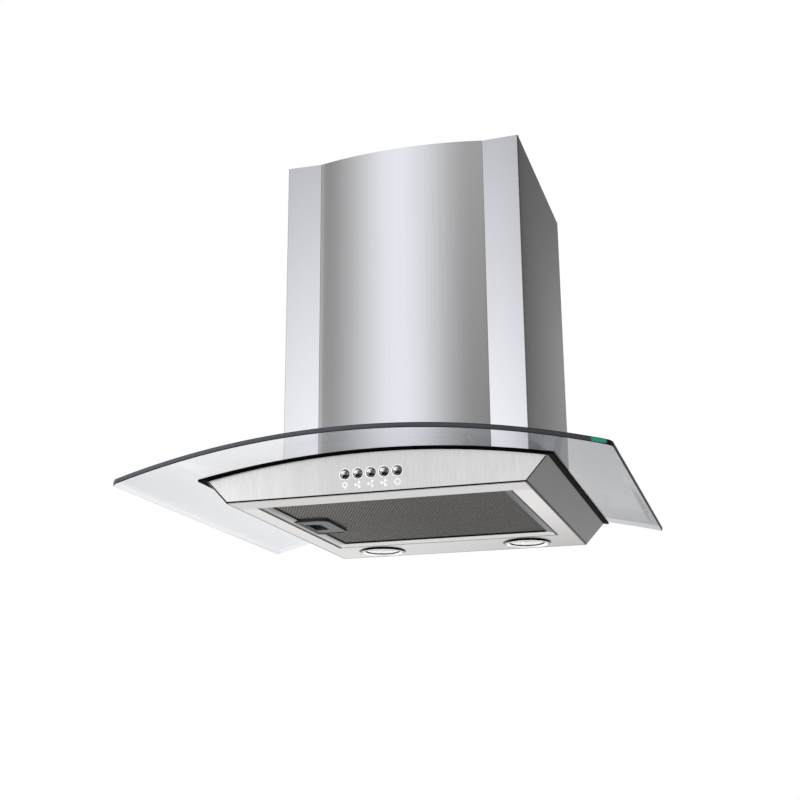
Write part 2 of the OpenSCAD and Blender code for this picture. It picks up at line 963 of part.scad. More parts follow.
// Steel pin across the collar, which the two flaps swing on
module flap_pin() {
    color("#c8c8c8") from_underside()
    translate([-duct_d / 2 + 0.2, collar_y, flap_z])
        rotate([0, 90, 0]) cylinder(r = flap_pin_r, h = duct_d - 0.4);
}

knuckle_l = 18;
// Middles of one flap's knuckles, as shares of the collar's radius; the other flap's are mirrored
knuckles = [-0.75, -0.17, 0.46];

// Half-round flap of the non-return damper, drawn for the front
module damper_flap() {
    difference() {
        union() {
            difference() {
                cylinder(r = flap_r, h = flap_t, center = true);
                translate([-duct_d, -3.6, -cut]) cube([2 * duct_d, duct_d, 2 * cut]);
            }
            for (k = knuckles)
                translate([k * flap_r - knuckle_l / 2, 0, 0]) {
                    rotate([0, 90, 0]) cylinder(r = knuckle_r, h = knuckle_l);
                    translate([0, -5, -flap_t / 2]) cube([knuckle_l, 5, flap_t]);
                }
        }
        translate([-duct_d, 0, 0]) rotate([0, 90, 0]) cylinder(r = flap_pin_r + 0.1, h = 2 * duct_d);
    }
}

module damper_flap_front() {
    color("#3a3c3e") from_underside()
    translate([0, collar_y, flap_z]) damper_flap();
}

module damper_flap_back() {
    color("#3a3c3e") from_underside()
    translate([0, collar_y, flap_z]) rotate([0, 0, 180]) damper_flap();
}

// Filled plan of the chimney, drawn in by inset
module chimney_plan(inset) {
    half = chimney_w / 2 - inset;
    polygon([
        [-half, 0], [-half, -chimney_d + inset], [-strip_x, -chimney_d + strip_back + inset],
        [strip_x, -chimney_d + strip_back + inset], [half, -chimney_d + inset], [half, 0]
    ]);
    intersection() {
        translate([0, front_cy]) circle(r = front_r - inset, $fn = arc_fn);
        translate([-strip_x, -chimney_d - front_bulge])
            square([2 * strip_x, front_bulge + strip_back + inset + 1]);
    }
}

// Sheet that follows the chimney's plan, between two insets
module chimney_sheet(inset, t) {
    difference() {
        chimney_plan(inset);
        chimney_plan(inset + t);
        translate([-chimney_w / 2 + inset + t, -10]) square([chimney_w - 2 * (inset + t), 20]);
    }
}

// Polished convex front, tucked behind the strips and turned in at its foot
module chimney_front() {
    color("#c9c9ce") from_underside()
    difference() {
        union() {
            linear_extrude(height = chimney_top)
                intersection() {
                    chimney_sheet(0, chimney_t);
                    translate([-strip_x + chimney_seam / 2, -chimney_d - front_bulge - cut])
                        square([2 * strip_x - chimney_seam, 60]);
                }
            linear_extrude(height = chimney_top)
                intersection() {
                    chimney_sheet(chimney_t, chimney_t);
                    for (side = [-1, 1])
                        translate([side * strip_x - tuck_w, -chimney_d - cut])
                            square([2 * tuck_w, 10]);
                }
            intersection() {
                along_y(-chimney_d - front_bulge - cut, 0) arch_band(chimney_h, chimney_h + chimney_t);
                linear_extrude(height = tall)
                    intersection() {
                        chimney_sheet(join, foot_flange);
                        translate([-strip_x + chimney_seam, -chimney_d - front_bulge - cut])
                            square([2 * strip_x - 2 * chimney_seam, 60]);
                    }
            }
        }
        arch_space(chimney_h);
    }
}

// One side of the chimney: front strip, side wall, wall flange and foot flange
module chimney_side() {
    difference() {
        union() {
            linear_extrude(height = chimney_top) {
                intersection() {
                    chimney_sheet(0, chimney_t);
                    translate([strip_x + chimney_seam / 2, -chimney_d - cut])
                        square([strip_w, chimney_d + cut]);
                }
                translate([chimney_w / 2 - back_flange, -chimney_t]) square([back_flange, chimney_t]);
            }
            intersection() {
                along_y(-chimney_d - cut, -chimney_t) arch_band(chimney_h, chimney_h + chimney_t);
                linear_extrude(height = tall)
                    translate([chimney_w / 2 - foot_flange, -chimney_d + foot_flange])
                        square([foot_flange - join, chimney_d - foot_flange]);
            }
        }
        arch_space(chimney_h);
    }
}

module chimney_left() {
    color("#cfd1d2") from_underside() mirror([1, 0, 0]) chimney_side();
}

module chimney_right() {
    color("#cfd1d2") from_underside() chimney_side();
}

// Spring clips on the hanging plate's ears, which hold the chimney's wall flanges
module chimney_clips() {
    ear_x = hanger_w / 2 + 0.05;
    color("#8d8f92") from_underside()
    for (side = [0, 1], z = [hanger_low + 20, hanger_top - 20 - clip_h])
        mirror([side, 0, 0])
            translate([0, 0, z])
                linear_extrude(height = clip_h)
                    polygon([
                        [ear_x, -ear_d + 2], [ear_x + clip_t, -ear_d + 2],
                        [ear_x + clip_t, -11], [ear_x + 6, -chimney_t - 0.1],
                        [ear_x + 4, -chimney_t - 0.1], [ear_x, -10]
                    ]);
}

// Inner telescopic chimney, with air slots near its top
module chimney_extension() {
    color("#d3d4d5") from_underside()
    difference() {
        linear_extrude(height = ext_top)
            difference() {
                chimney_sheet(ext_inset, chimney_t);
                translate([-chimney_w, -ext_back]) square([2 * chimney_w, ext_back + cut]);
            }
        arch_space(chimney_h + chimney_t + seat);
        for (i = [0 : slot_count - 1])
            translate([0, -(chimney_d + ext_back) / 2, ext_top - 30 - i * slot_pitch])
                cube([2 * chimney_w, slot_l, slot_h], center = true);
        for (side = [-1, 1])
            translate([side * chimney_w / 2 - 10, -arm_l + 14, ext_top - ceiling_h / 2])
                rotate([0, 90, 0]) cylinder(r = 2.1, h = 20);
    }
}

arm_x = chimney_w / 2 - ext_inset - chimney_t - 0.1;
// Step that takes the bracket's ends past the chimney's wall flanges
joggle = chimney_t + seat;

// Bracket that holds the extension to the wall under the ceiling
module ceiling_bracket() {
    color("#a5a7a9") from_underside()
    difference() {
        union() {
            block([-ceiling_w / 2, -ceiling_t, ext_top - ceiling_h], [ceiling_w / 2, 0, ext_top]);
            for (side = [0, 1])
                mirror([side, 0, 0]) {
                    block(
                        [ceiling_w / 2 - 6, -joggle - ceiling_t, ext_top - ceiling_h],
                        [arm_x, -joggle, ext_top]
                    );
                    block(
                        [arm_x - ceiling_t, -arm_l, ext_top - ceiling_h],
                        [arm_x, -joggle, ext_top]
                    );
                }
        }
        for (side = [-1, 1]) {
            translate([side * ceiling_hole_x, cut, ext_top - ceiling_h / 2])
                rotate([90, 0, 0]) cylinder(r = screw_hole / 2, h = 10);
            translate([side * arm_x - 10, -arm_l + 14, ext_top - ceiling_h / 2])
                rotate([0, 90, 0]) cylinder(r = 2.1, h = 20);
        }
    }
}

// Screws through the bracket's arms, with their heads inside
module ceiling_screws() {
    color("#9c9c9c") from_underside()
    for (side = [0, 1])
        mirror([side, 0, 0])
            translate([arm_x - ceiling_t, -arm_l + 14, ext_top - ceiling_h / 2])
                rotate([0, 90, 0]) {
                    cylinder(r = 2, h = ceiling_t + chimney_t + 0.1);
                    mirror([0, 0, 1]) pan_head(4, 2.4);
                }
}

// Place of a button along the panel
function button_x(i) = (i - (button_count - 1) / 2) * button_pitch;

// Switch block behind the front panel, with a bore for each button's stem
module switch_block() {
    color("#f0f0ee") from_underside()
    on_front(0, button_up)
        difference() {
            translate([-block_l / 2, block_gap, -block_h / 2]) cube([block_l, block_d, block_h]);
            for (i = [0 : button_count - 1])
                translate([button_x(i), block_gap - cut, 0])
                    rotate([-90, 0, 0]) cylinder(r = stem_r + 0.1, h = stem_l + 6 + cut - block_gap);
        }
}

// Folded sheet that holds the switch block to the front panel
module switch_bracket() {
    leg_x = block_l / 2 + 12;
    color("#a8aaac") from_underside()
    on_front(0, button_up)
        difference() {
            union() {
                translate([-leg_x, bracket_gap, -block_h / 2])
                    cube([2 * leg_x, bracket_t, block_h]);
                for (side = [-1, 1])
                    translate([side * leg_x - bracket_t / 2, sheet_t + join, -block_h / 2])
                        cube([bracket_t, bracket_gap, block_h]);
            }
            for (i = [0 : button_count - 1])
                translate([button_x(i), bracket_gap - cut, 0])
                    rotate([-90, 0, 0]) cylinder(r = stem_r + 0.4, h = bracket_t + 2 * cut);
        }
}

// Domed push button, with the collar that keeps it behind the panel
module push_button(i) {
    r = button_d / 2;
    dome = button_out - 2;
    dome_r = (r * r + dome * dome) / (2 * dome);
    back = sheet_t + seat;
    on_front(button_x(i), button_up)
        rotate([90, 0, 0])
            rotate_extrude() {
                intersection() {
                    translate([0, 0]) square([r, button_out]);
                    translate([0, button_out - dome_r]) circle(r = dome_r, $fn = 96);
                }
                translate([0, -back]) square([r, back + join]);
                translate([0, -back - button_flange_t]) square([r + button_flange, button_flange_t]);
                translate([0, -stem_l]) square([stem_r, stem_l]);
            }
}

module lamp_button() {
    color("#9a9a9a") from_underside() push_button(0);
}

module low_speed_button() {
    color("#9a9a9a") from_underside() push_button(1);
}

module middle_speed_button() {
    color("#9a9a9a") from_underside() push_button(2);
}

module high_speed_button() {
    color("#9a9a9a") from_underside() push_button(3);
}

module stop_button() {
    color("#9a9a9a") from_underside() push_button(4);
}

lamp_can_r = lamp_hole_r + 2;
lamp_can_top = arch_z(lamp_x + lamp_can_r, carrier_h) - can_gap;
lens_r = lamp_d / 2 - lens_inset;

// Places a shape on a lamp's axis; side is -1 or 1
module at_lamp(side) {
    translate([side * lamp_x, -lamp_back, 0]) children();
}

// Polished ring of a lamp, with the spigot that passes through the underside
module lamp_ring() {
    out_r = lamp_d / 2;
    spigot_r = lamp_hole_r - seat;
    rotate_extrude($fn = 96)
        difference() {
            union() {
                translate([lens_r - lens_lip, -lamp_drop])
                    square([out_r - ring_bead - lens_r + lens_lip, lamp_drop]);
                translate([out_r - ring_bead, ring_bead - lamp_drop])
                    square([ring_bead, lamp_drop - ring_bead + cut]);
                translate([out_r - ring_bead, ring_bead - lamp_drop]) circle(r = ring_bead);
                translate([spigot_r - spigot_t, -join]) square([spigot_t, spigot_h]);
            }
            translate([0, -lens_rest]) square([lens_r + 0.2, spigot_h]);
            translate([spigot_r, 0]) square([ring_lap + cut, spigot_h]);
        }
}

module lamp_ring_left() {
    color("#d0d0d0") from_underside() at_lamp(-1) lamp_ring();
}

module lamp_ring_right() {
    color("#d0d0d0") from_underside() at_lamp(1) lamp_ring();
}

// Frosted lens of a lamp
module lamp_lens() {
    translate([0, 0, 0.1 - lens_rest]) cylinder(r = lens_r, h = lens_t);
}

module lamp_lens_left() {
    color("#f4f4f2") from_underside() at_lamp(-1) lamp_lens();
}

module lamp_lens_right() {
    color("#f4f4f2") from_underside() at_lamp(1) lamp_lens();
}

// Sheet can over a lamp, closed at its top
module lamp_can() {
    difference() {
        union() {
            translate([0, 0, sheet_t]) cylinder(r = lamp_can_r, h = lamp_can_top - sheet_t);
            translate([0, 0, sheet_t]) cylinder(r = lamp_can_r + can_flange, h = can_flange_t);
        }
        translate([0, 0, -can_t]) cylinder(r = lamp_can_r - can_t, h = lamp_can_top);
    }
}

module lamp_can_left() {
    color("#b6b8ba") from_underside() at_lamp(-1) lamp_can();
}

module lamp_can_right() {
    color("#b6b8ba") from_underside() at_lamp(1) lamp_can();
}

// Halogen capsules, in their ceramic holders under the tops of the cans
module lamp_bulbs() {
    top = lamp_can_top - can_t;
    color("#f2efe6") from_underside()
    for (side = [-1, 1])
        at_lamp(side) {
            translate([0, 0, top - holder_h]) cylinder(r = holder_r, h = holder_h);
            translate([0, 0, top - bulb_drop]) cylinder(r = bulb_r, h = bulb_drop - holder_h + join);
            translate([0, 0, top - bulb_drop]) sphere(r = bulb_r);
        }
}

// Outline of one forward-curved blade, from the wheel's inner to its outer radius
blade_steps = 5;
blade_turn = 9;
blade_span = fan_d / 2 - blade_in_r;
function blade_p(t, off) =
    let (r = blade_in_r + t * blade_span, a = blade_turn * t * t + off / r * 180 / PI)
    [r * cos(a), r * sin(a)];
// Shares of the blade's span, with its inner end drawn out by grow
function blade_line(grow) = [for (i = [0 : blade_steps]) i == 0 ? -grow / blade_span : i / blade_steps];
function blade_outline(grow) =
    let (line = blade_line(grow), off = blade_t / 2 + grow)
    concat(
        [for (t = line) blade_p(t, -off)],
        [for (i = [blade_steps : -1 : 0]) blade_p(line[i], off)]
    );

// Plan of all the blades, grown by the play that the disc's notches leave them
module blade_plan(grow) {
    for (i = [0 : blade_count - 1])
        rotate([0, 0, i * 360 / blade_count]) polygon(blade_outline(grow));
}

// Blades of the double-inlet fan wheel, between its two rings
module fan_blades() {
    color("#c4c6c8") from_underside()
    on_fan_axis(-fan_w / 2 + ring_w)
        linear_extrude(height = fan_w - 2 * ring_w) blade_plan(0);
}

// Rings that hold the blades' ends
module fan_rings() {
    color("#bfc1c3") from_underside()
    for (x = [-fan_w / 2, fan_w / 2 - ring_w])
        on_fan_axis(x)
            difference() {
                cylinder(r = fan_d / 2 + 0.4, h = ring_w);
                translate([0, 0, -cut]) cylinder(r = ring_in_r, h = ring_w + 2 * cut);
            }
}

// Driving disc with its hub, and a notch for each blade
module fan_disc() {
    color("#c9cbcd") from_underside()
    on_fan_axis(fan_disc_x)
        difference() {
            union() {
                cylinder(r = disc_r, h = disc_t);
                cylinder(r = hub_r, h = hub_l);
            }
            translate([0, 0, -cut]) linear_extrude(height = disc_t + 2 * cut) blade_plan(notch_play);
            translate([0, 0, -cut]) cylinder(r = shaft_d / 2 + 0.02, h = hub_l + 2 * cut);
        }
}

shaft_end = fan_disc_x + 24;

// Motor shaft
module fan_shaft() {
    color("#b8b8b8") from_underside()
    on_fan_axis(spider_x - 3) cylinder(r = shaft_d / 2, h = shaft_end - spider_x + 3);
}

// Nut that holds the wheel on its shaft
module fan_nut() {
    color("#a0a0a0") from_underside()
    on_fan_axis(fan_disc_x + hub_l + 0.1)
        difference() {
            cylinder(r = shaft_d * 0.9, h = 6, $fn = 6);
            translate([0, 0, -cut]) cylinder(r = shaft_d / 2 + 0.02, h = 10);
        }
}

// Places a shape at the middle of the filter's opening
module at_filter() {
    translate([0, -filter_back, 0]) children();
}

// Block about the filter's middle, from z1 to z2
module filter_slab(w, d, z1, z2) {
    translate([0, 0, z1]) linear_extrude(height = z2 - z1) square([w, d], center = true);
}

// Plan of the finger pull: square at the cassette's edge and rounded inwards
module pull_plan(grow) {
    translate([pull_x - grow, -pull_l / 2 - grow])
        square([pull_w / 2 + grow, pull_l + 2 * grow]);
    translate([pull_x + pull_w / 2, 0])
        round_rect(pull_w + 2 * grow, pull_l + 2 * grow, pull_r);
}

// Plan of the way that the latch's tongue takes between the pull and the opening's edge
module tongue_plan() {
    translate([-filter_w / 2, -slide_w / 2 - 0.5])
        square([pull_x + filter_w / 2 + 1, slide_w + 1]);
}

// Aluminium frame of the cassette, with its bevelled border, hem and hinge tabs
module filter_frame() {
    top = filter_lift + filter_h;
    cavity_z = filter_lift + filter_bevel + 1;
    color("#b5b6b5") from_underside() at_filter()
    difference() {
        union() {
            filter_slab(filter_w, filter_d, filter_lift, top);
            for (side = [-1, 1])
                translate([filter_w / 2 - 2, side * tab_y - tab_w / 2, sheet_t + seat])
                    cube([tab_reach + 2, tab_w, tab_t]);
        }
        hull() {
            filter_slab(filter_w - 3, filter_d - 3, filter_lift - cut, filter_lift);
            filter_slab(border_in_w, border_in_d, filter_lift - cut, filter_lift + filter_bevel);
        }
        filter_slab(border_in_w, border_in_d, filter_lift, top + cut);
        filter_slab(filter_w - 2 * frame_wall, filter_d - 2 * frame_wall, cavity_z, top - hem_t);
        filter_slab(filter_w - 14, filter_d - 14, cavity_z, top + cut);
        translate([0, 0, -cut]) linear_extrude(height = filter_h + 4) pull_plan(0.1);
        translate([-filter_w / 2 - cut, -tongue_w / 2 - 0.5, tongue_z - seat])
            cube([20, tongue_w + 1, tongue_t + 2 * seat]);
    }
}

// Diamond-gapped net, with a hole for the pull
module filter_net() {
    step_x = (net_w - 2 * filter_border) / net_cols;
    step_y = (net_d - 2 * filter_border) / net_rows;
    linear_extrude(height = net_t)
        difference() {
            square([net_w, net_d], center = true);
            for (i = [0 : net_cols - 1], j = [0 : net_rows - 1]) {
                x = (i - (net_cols - 1) / 2) * step_x;
                y = (j - (net_rows - 1) / 2) * step_y;
                if (x > pull_x + pull_w + step_x / 2 || abs(y) > (pull_l + step_y) / 2)
                    translate([x, y])
                        polygon([
                            [-(step_x - net_strand) / 2, 0], [0, -(step_y - net_strand) / 2],
                            [(step_x - net_strand) / 2, 0], [0, (step_y - net_strand) / 2]
                        ]);
            }
            pull_plan(0.2);
            tongue_plan();
        }
}

module filter_net_lower() {
    color("#6b6762") from_underside() at_filter() translate([0, 0, net_z]) filter_net();
}

module filter_net_upper() {
    color("#6b6762") from_underside() at_filter() translate([0, 0, net_top_z]) filter_net();
}

// Layered mesh between the two nets
module filter_core() {
    color("#5f5a55") from_underside() at_filter()
    difference() {
        filter_slab(net_w, net_d, core_z, core_z + core_t);
        linear_extrude(height = 40) {
            pull_plan(0.2);
            tongue_plan();
        }
    }
}

finger_w = 22;
finger_l = 40;
finger_x = pull_x + 16;

// Moulded finger pull, with its finger hole and the latch's channel
module filter_pull() {
    color("#55585a") from_underside() at_filter()
    difference() {
        translate([0, 0, pull_z]) linear_extrude(height = pull_h) pull_plan(0);
        translate([pull_x + pull_w / 2 + 1.5, 0, pull_z - cut])
            linear_extrude(height = cut + 1) round_rect(pull_w - 6, pull_l - 6, pull_r - 2);
        translate([finger_x, 0, pull_z - cut])
            linear_extrude(height = pull_h - 1 + cut) round_rect(finger_w, finger_l, 5);
        translate([pull_x - cut, -slide_w / 2 - seat, tongue_z - seat])
            cube([finger_x - pull_x + cut, slide_w + 2 * seat, tongue_t + 2 * seat]);
    }
}

// Sprung latch: a tongue behind the opening's lip and a lug in the finger hole
module latch_slide() {
    tip = -filter_w / 2 - tongue_reach;
    color("#2e3032") from_underside() at_filter() {
        translate([tip, -tongue_w / 2, tongue_z]) cube([tongue_reach + 9, tongue_w, tongue_t]);
        translate([pull_x + 0.4, -slide_w / 2, tongue_z])
            cube([finger_x - finger_w / 2 + lug_t - pull_x - 0.4, slide_w, tongue_t]);
        translate([finger_x - finger_w / 2 + 0.6, -slide_w / 2, pull_z + 0.8])
            cube([lug_t - 0.6, slide_w, pull_h - 2.6]);
    }
}

underside_panel();
side_panel_left();
side_panel_right();
front_panel();
back_panel();
glass_carrier();
glass_seal();
glass_canopy();
glass_bushes();
glass_bolts();
hanger_plate();
blower_box();
box_top_plate();
pan_screws();
scroll_wrap();
scroll_cheek_left();
scroll_cheek_right();
motor_body();
motor_spider();
motor_bushes();
capacitor();
capacitor_clamp();
terminal_box();
cable_gland();
duct_collar();
flap_pin();
chimney_front();
chimney_left();
chimney_right();
chimney_clips();
switch_block();
switch_bracket();
lamp_ring_left();
lamp_ring_right();
lamp_lens_left();
lamp_lens_right();
lamp_can_left();
lamp_can_right();
lamp_bulbs();
fan_blades();
fan_rings();
fan_disc();
fan_shaft();
fan_nut();
chimney_extension();
ceiling_bracket();
ceiling_screws();
filter_frame();
filter_net_lower();
filter_core();
filter_net_upper();
filter_pull();
latch_slide();
lamp_button();
low_speed_button();
middle_speed_button();
high_speed_button();
stop_button();
damper_flap_front();
damper_flap_back();
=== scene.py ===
"""Finishes, fine meshes, stage and camera for a chimney cooker hood with an arched glass canopy."""
import json
import math

import bmesh
import bpy
from bpy.props import FloatProperty, FloatVectorProperty, IntProperty, PointerProperty
from bpy.types import Operator, Panel, PropertyGroup
from mathutils import Matrix, Vector

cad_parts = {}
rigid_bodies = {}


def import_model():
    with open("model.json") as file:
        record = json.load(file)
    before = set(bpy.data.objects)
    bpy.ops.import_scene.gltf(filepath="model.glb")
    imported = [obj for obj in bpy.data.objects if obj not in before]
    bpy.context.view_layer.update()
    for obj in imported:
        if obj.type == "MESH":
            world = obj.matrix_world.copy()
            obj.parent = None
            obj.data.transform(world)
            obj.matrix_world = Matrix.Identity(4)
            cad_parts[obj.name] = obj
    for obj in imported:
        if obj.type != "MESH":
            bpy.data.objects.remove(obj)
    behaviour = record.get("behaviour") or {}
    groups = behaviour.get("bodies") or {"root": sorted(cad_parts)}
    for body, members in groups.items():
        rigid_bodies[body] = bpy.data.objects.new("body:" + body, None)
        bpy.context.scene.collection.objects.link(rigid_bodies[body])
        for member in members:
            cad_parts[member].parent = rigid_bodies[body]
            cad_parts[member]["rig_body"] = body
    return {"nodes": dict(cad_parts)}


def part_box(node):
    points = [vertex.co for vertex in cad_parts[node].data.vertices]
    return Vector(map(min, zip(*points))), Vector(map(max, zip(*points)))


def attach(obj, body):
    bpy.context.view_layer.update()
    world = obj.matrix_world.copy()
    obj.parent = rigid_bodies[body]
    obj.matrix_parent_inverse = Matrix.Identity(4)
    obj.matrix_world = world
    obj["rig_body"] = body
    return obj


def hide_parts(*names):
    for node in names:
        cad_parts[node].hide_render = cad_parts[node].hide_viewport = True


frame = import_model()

bl_info = {
    "name": "Cooker hood dressing",
    "version": (1, 0, 0),
    "blender": (4, 5, 0),
    "location": "3D View > Sidebar > Hood",
    "description": "Dresses the packed cooker hood with fine meshes, finishes, light and a camera",
    "category": "Object",
}

NODES = frame["nodes"]
BODY_OF = {name: node["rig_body"] for name, node in NODES.items()}
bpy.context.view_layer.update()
MM = 0.001
WELD = 0.002 * MM
SAME_SPOT = 0.0001 * MM
CHIMNEY_FOOT_Z, CHIMNEY_TOP_Z = -0.13, 0.31
WHITE = (1.0, 1.0, 1.0, 1.0)
GLASS_IOR = 1.5
INSIDE_CLEAR = 0.95


def paint(code):
    """Linear colour with alpha, from a hex code as a painter writes it."""
    parts = [int(code[i:i + 2], 16) / 255 for i in (1, 3, 5)]
    linear = (p / 12.92 if p <= 0.04045 else ((p + 0.055) / 1.055) ** 2.4 for p in parts)
    return tuple(linear) + (1.0,)


# Sizes and colours that a user changes

def length(name, description, millimetres):
    return FloatProperty(name=name, description=description, default=millimetres * MM,
                         min=0.0, subtype="DISTANCE", unit="LENGTH", precision=4)


def tint(name, description, code):
    return FloatVectorProperty(name=name, description=description, size=4,
                               default=paint(code), min=0.0, max=1.0, subtype="COLOR")


class HoodSizes(PropertyGroup):
    """Sizes of the hood that its fine meshes share with the solids."""
    hang: length("Hang", "Height of the wall screws' middle above the underside", 200)
    glass_width: length("Glass width", "Width of the glass canopy", 600)
    glass_depth: length("Glass depth", "Depth of the glass at its front corners", 525)
    glass_bow: length("Glass bow", "How far the front edge bows out at the middle", 10)
    glass_thick: length("Glass thickness", "Thickness of the glass", 6)
    glass_rise: length("Glass rise", "Rise of the arch from its edges to its middle", 40)
    glass_edge: length("Glass edge height", "Height of the lower face at the side edges", 13)
    glass_corner: length("Glass corner", "Radius of the glass's front corners", 8)
    glass_back_corner: length("Glass back corner", "Radius of the glass's back corners", 3)
    glass_arris: length("Glass arris", "Rounding of the glass's polished edge", 0.9)
    wall_gap: length("Wall gap", "Gap between the glass and the wall", 1)
    hole_width: length("Air hole width", "Width of the air hole through the glass", 240)
    hole_front: length("Air hole front", "Distance of the air hole's front from the wall", 240)
    hole_back: length("Air hole back", "Distance of the air hole's back from the wall", 30)
    hole_corner: length("Air hole corner", "Radius of the air hole's corners", 12)
    chimney_width: length("Chimney width", "Width of the chimney", 336)
    chimney_depth: length("Chimney depth", "Depth of the chimney at its front strips", 307)
    chimney_top: length("Chimney top", "Height of the chimney's top above the underside", 516)
    chimney_sheet: length("Chimney sheet", "Thickness of the chimney's sheet", 0.8)
    strip_width: length("Strip width", "Width of the satin strip at each side", 50)
    strip_back: length("Strip set-back", "How far a strip's inner edge lies behind its outer", 1.5)
    front_bulge: length("Front bulge", "Bulge of the polished front between the strips", 14)
    chimney_seam: length("Chimney seam", "Gap between the polished front and a strip", 0.6)
    bend_radius: length("Bend radius", "Outer radius of a folded edge of the chimney", 1.6)
    body_depth: length("Body depth", "Depth of the flat underside", 438)
    front_lean: FloatProperty(name="Front lean", description="Forward lean of the front panel",
                              default=math.radians(4.75), subtype="ANGLE", unit="ROTATION")
    button_diameter: length("Button diameter", "Diameter of a push button", 11)
    button_pitch: length("Button pitch", "Distance between two buttons", 16.5)
    button_up: length("Button height", "Height of the buttons, up the front panel", 25.5)
    button_out: length("Button reach", "How far a button stands out of the panel", 5)
    sign_up: length("Sign height", "Height of the signs, up the front panel", 12)
    sign_radius: length("Sign radius", "Radius of a printed sign", 5)
    lamp_diameter: length("Lamp diameter", "Diameter of a lamp's ring", 70)
    lamp_side: length("Lamp side", "Distance of a lamp from the middle", 110)
    lamp_back: length("Lamp back", "Distance of the lamps from the wall", 50)
    lamp_drop: length("Lamp drop", "How far a lamp's ring hangs below the underside", 3)
    filter_width: length("Filter width", "Width of the filter cassette", 325)
    filter_depth: length("Filter depth", "Depth of the filter cassette", 307)
    filter_back: length("Filter back", "Distance of the cassette's middle from the wall", 246)
    mesh_height: length("Mesh height", "Height of the perforated sheet above the underside", 4.8)
    mesh_pitch: length("Mesh pitch", "Distance between two holes of the filter's sheet", 4.2)
    mesh_row: length("Mesh row", "Distance between two rows of holes of the filter's sheet", 4.5)
    mesh_open: FloatProperty(name="Mesh opening", default=0.8, min=0.1, max=0.95,
                             description="Share of a cell's width that is hole")
    mesh_relief: length("Mesh relief", "How far a hole's rim is pressed in", 0.2)
    seal_height: length("Seal height", "Thickness of the seal between the body and the glass", 3)
    arch_steps: IntProperty(name="Arch steps", description="Strips that the arch is divided into",
                            default=96, min=12, max=400)


class HoodColours(PropertyGroup):
    """Colours of the hood's finishes."""
    front_steel: tint("Front steel", "Brushed steel of the front panel", "#DFDDD9")
    body_steel: tint("Body steel", "Satin steel of the underside and the sides", "#DEDCDB")
    chimney_steel: tint("Chimney steel", "Satin steel of the chimney", "#DFDFE0")
    polished_steel: tint("Polished steel", "Polished steel of the chimney's front", "#CDCDCE")
    zinc: tint("Zinc", "Zinc-plated sheet and hardware", "#B4B7B9")
    glass: tint("Glass", "Tint of the glass's faces", "#8A93A3")
    glass_rim: tint("Glass rim", "Slate tone of the glass's polished edge", "#43474D")
    rubber: tint("Rubber", "Black rubber of the seal", "#030303")
    filter_mesh: tint("Filter mesh", "Aluminium mesh of the filter", "#857E78")
    filter_frame: tint("Filter frame", "Aluminium frame of the filter", "#979896")
    pull: tint("Pull", "Moulded finger pull", "#34373A")
    sign: tint("Sign", "Printed signs below the buttons", "#F0F0EE")


# Node nets

class Value:
    """A socket of a node net that joins in sums as Math nodes."""

    def __init__(self, net, socket):
        self.net = net
        self.socket = socket

    def math(self, operation, other=0.0):
        """The value after a Math node, with other as its second number."""
        return self.net.node("ShaderNodeMath", {"operation": operation}, {0: self, 1: other})

    def __add__(self, other):
        return self.math("ADD", other)

    __radd__ = __add__

    def __sub__(self, other):
        return self.math("SUBTRACT", other)

    def __rsub__(self, other):
        return self * -1.0 + other

    def __mul__(self, other):
        return self.math("MULTIPLY", other)

    __rmul__ = __mul__

    def __pow__(self, other):
        return self.math("POWER", other)

    def at_least(self, other):
        return self.math("MAXIMUM", other)

    def at_most(self, other):
        return self.math("MINIMUM", other)

    def size(self):
        return self.math("ABSOLUTE")


def as_vector(colour):
    """A colour as a vector socket takes it."""
    return colour if isinstance(colour, Value) else tuple(colour)[:3]


class Net:
    """A node tree that is filled by its node method."""

    def __init__(self, tree):
        self.tree = tree
        tree.nodes.clear()

    def node(self, kind, settings=None, values=None, out=0):
        """Adds a node: its settings first, then the values or links of its sockets."""
        made = self.tree.nodes.new(kind)
        for key, value in (settings or {}).items():
            setattr(made, key, value)
        for key, value in (values or {}).items():
            if isinstance(value, Value):
                self.tree.links.new(value.socket, made.inputs[key])
            else:
                made.inputs[key].default_value = value
        return Value(self, made.outputs[out]) if made.outputs else made

    def split(self, vector):
        """The X, Y and Z values of a vector."""
        first = self.node("ShaderNodeSeparateXYZ", None, {0: vector})
        return [Value(self, s) for s in first.socket.node.outputs]

    def step(self, value, low, high, kind="SMOOTHSTEP"):
        """0 below low, 1 above high and smooth in between."""
        return self.node("ShaderNodeMapRange", {"interpolation_type": kind},
                         {0: value, 1: low, 2: high, 3: 0.0, 4: 1.0})

    def slope(self, value, low, high):
        """0 below low, 1 above high and even in between."""
        return self.step(value, low, high, "LINEAR")

    def blend(self, factor, first, second):
        """Colour between first and second."""
        return self.node("ShaderNodeMix", {"data_type": "RGBA"},
                         {0: factor, 6: first, 7: second}, out=2)

    def scaled(self, colour, share):
        """Colour times share."""
        scale = {"operation": "SCALE"}
        return self.node("ShaderNodeVectorMath", scale, {0: as_vector(colour), "Scale": share})


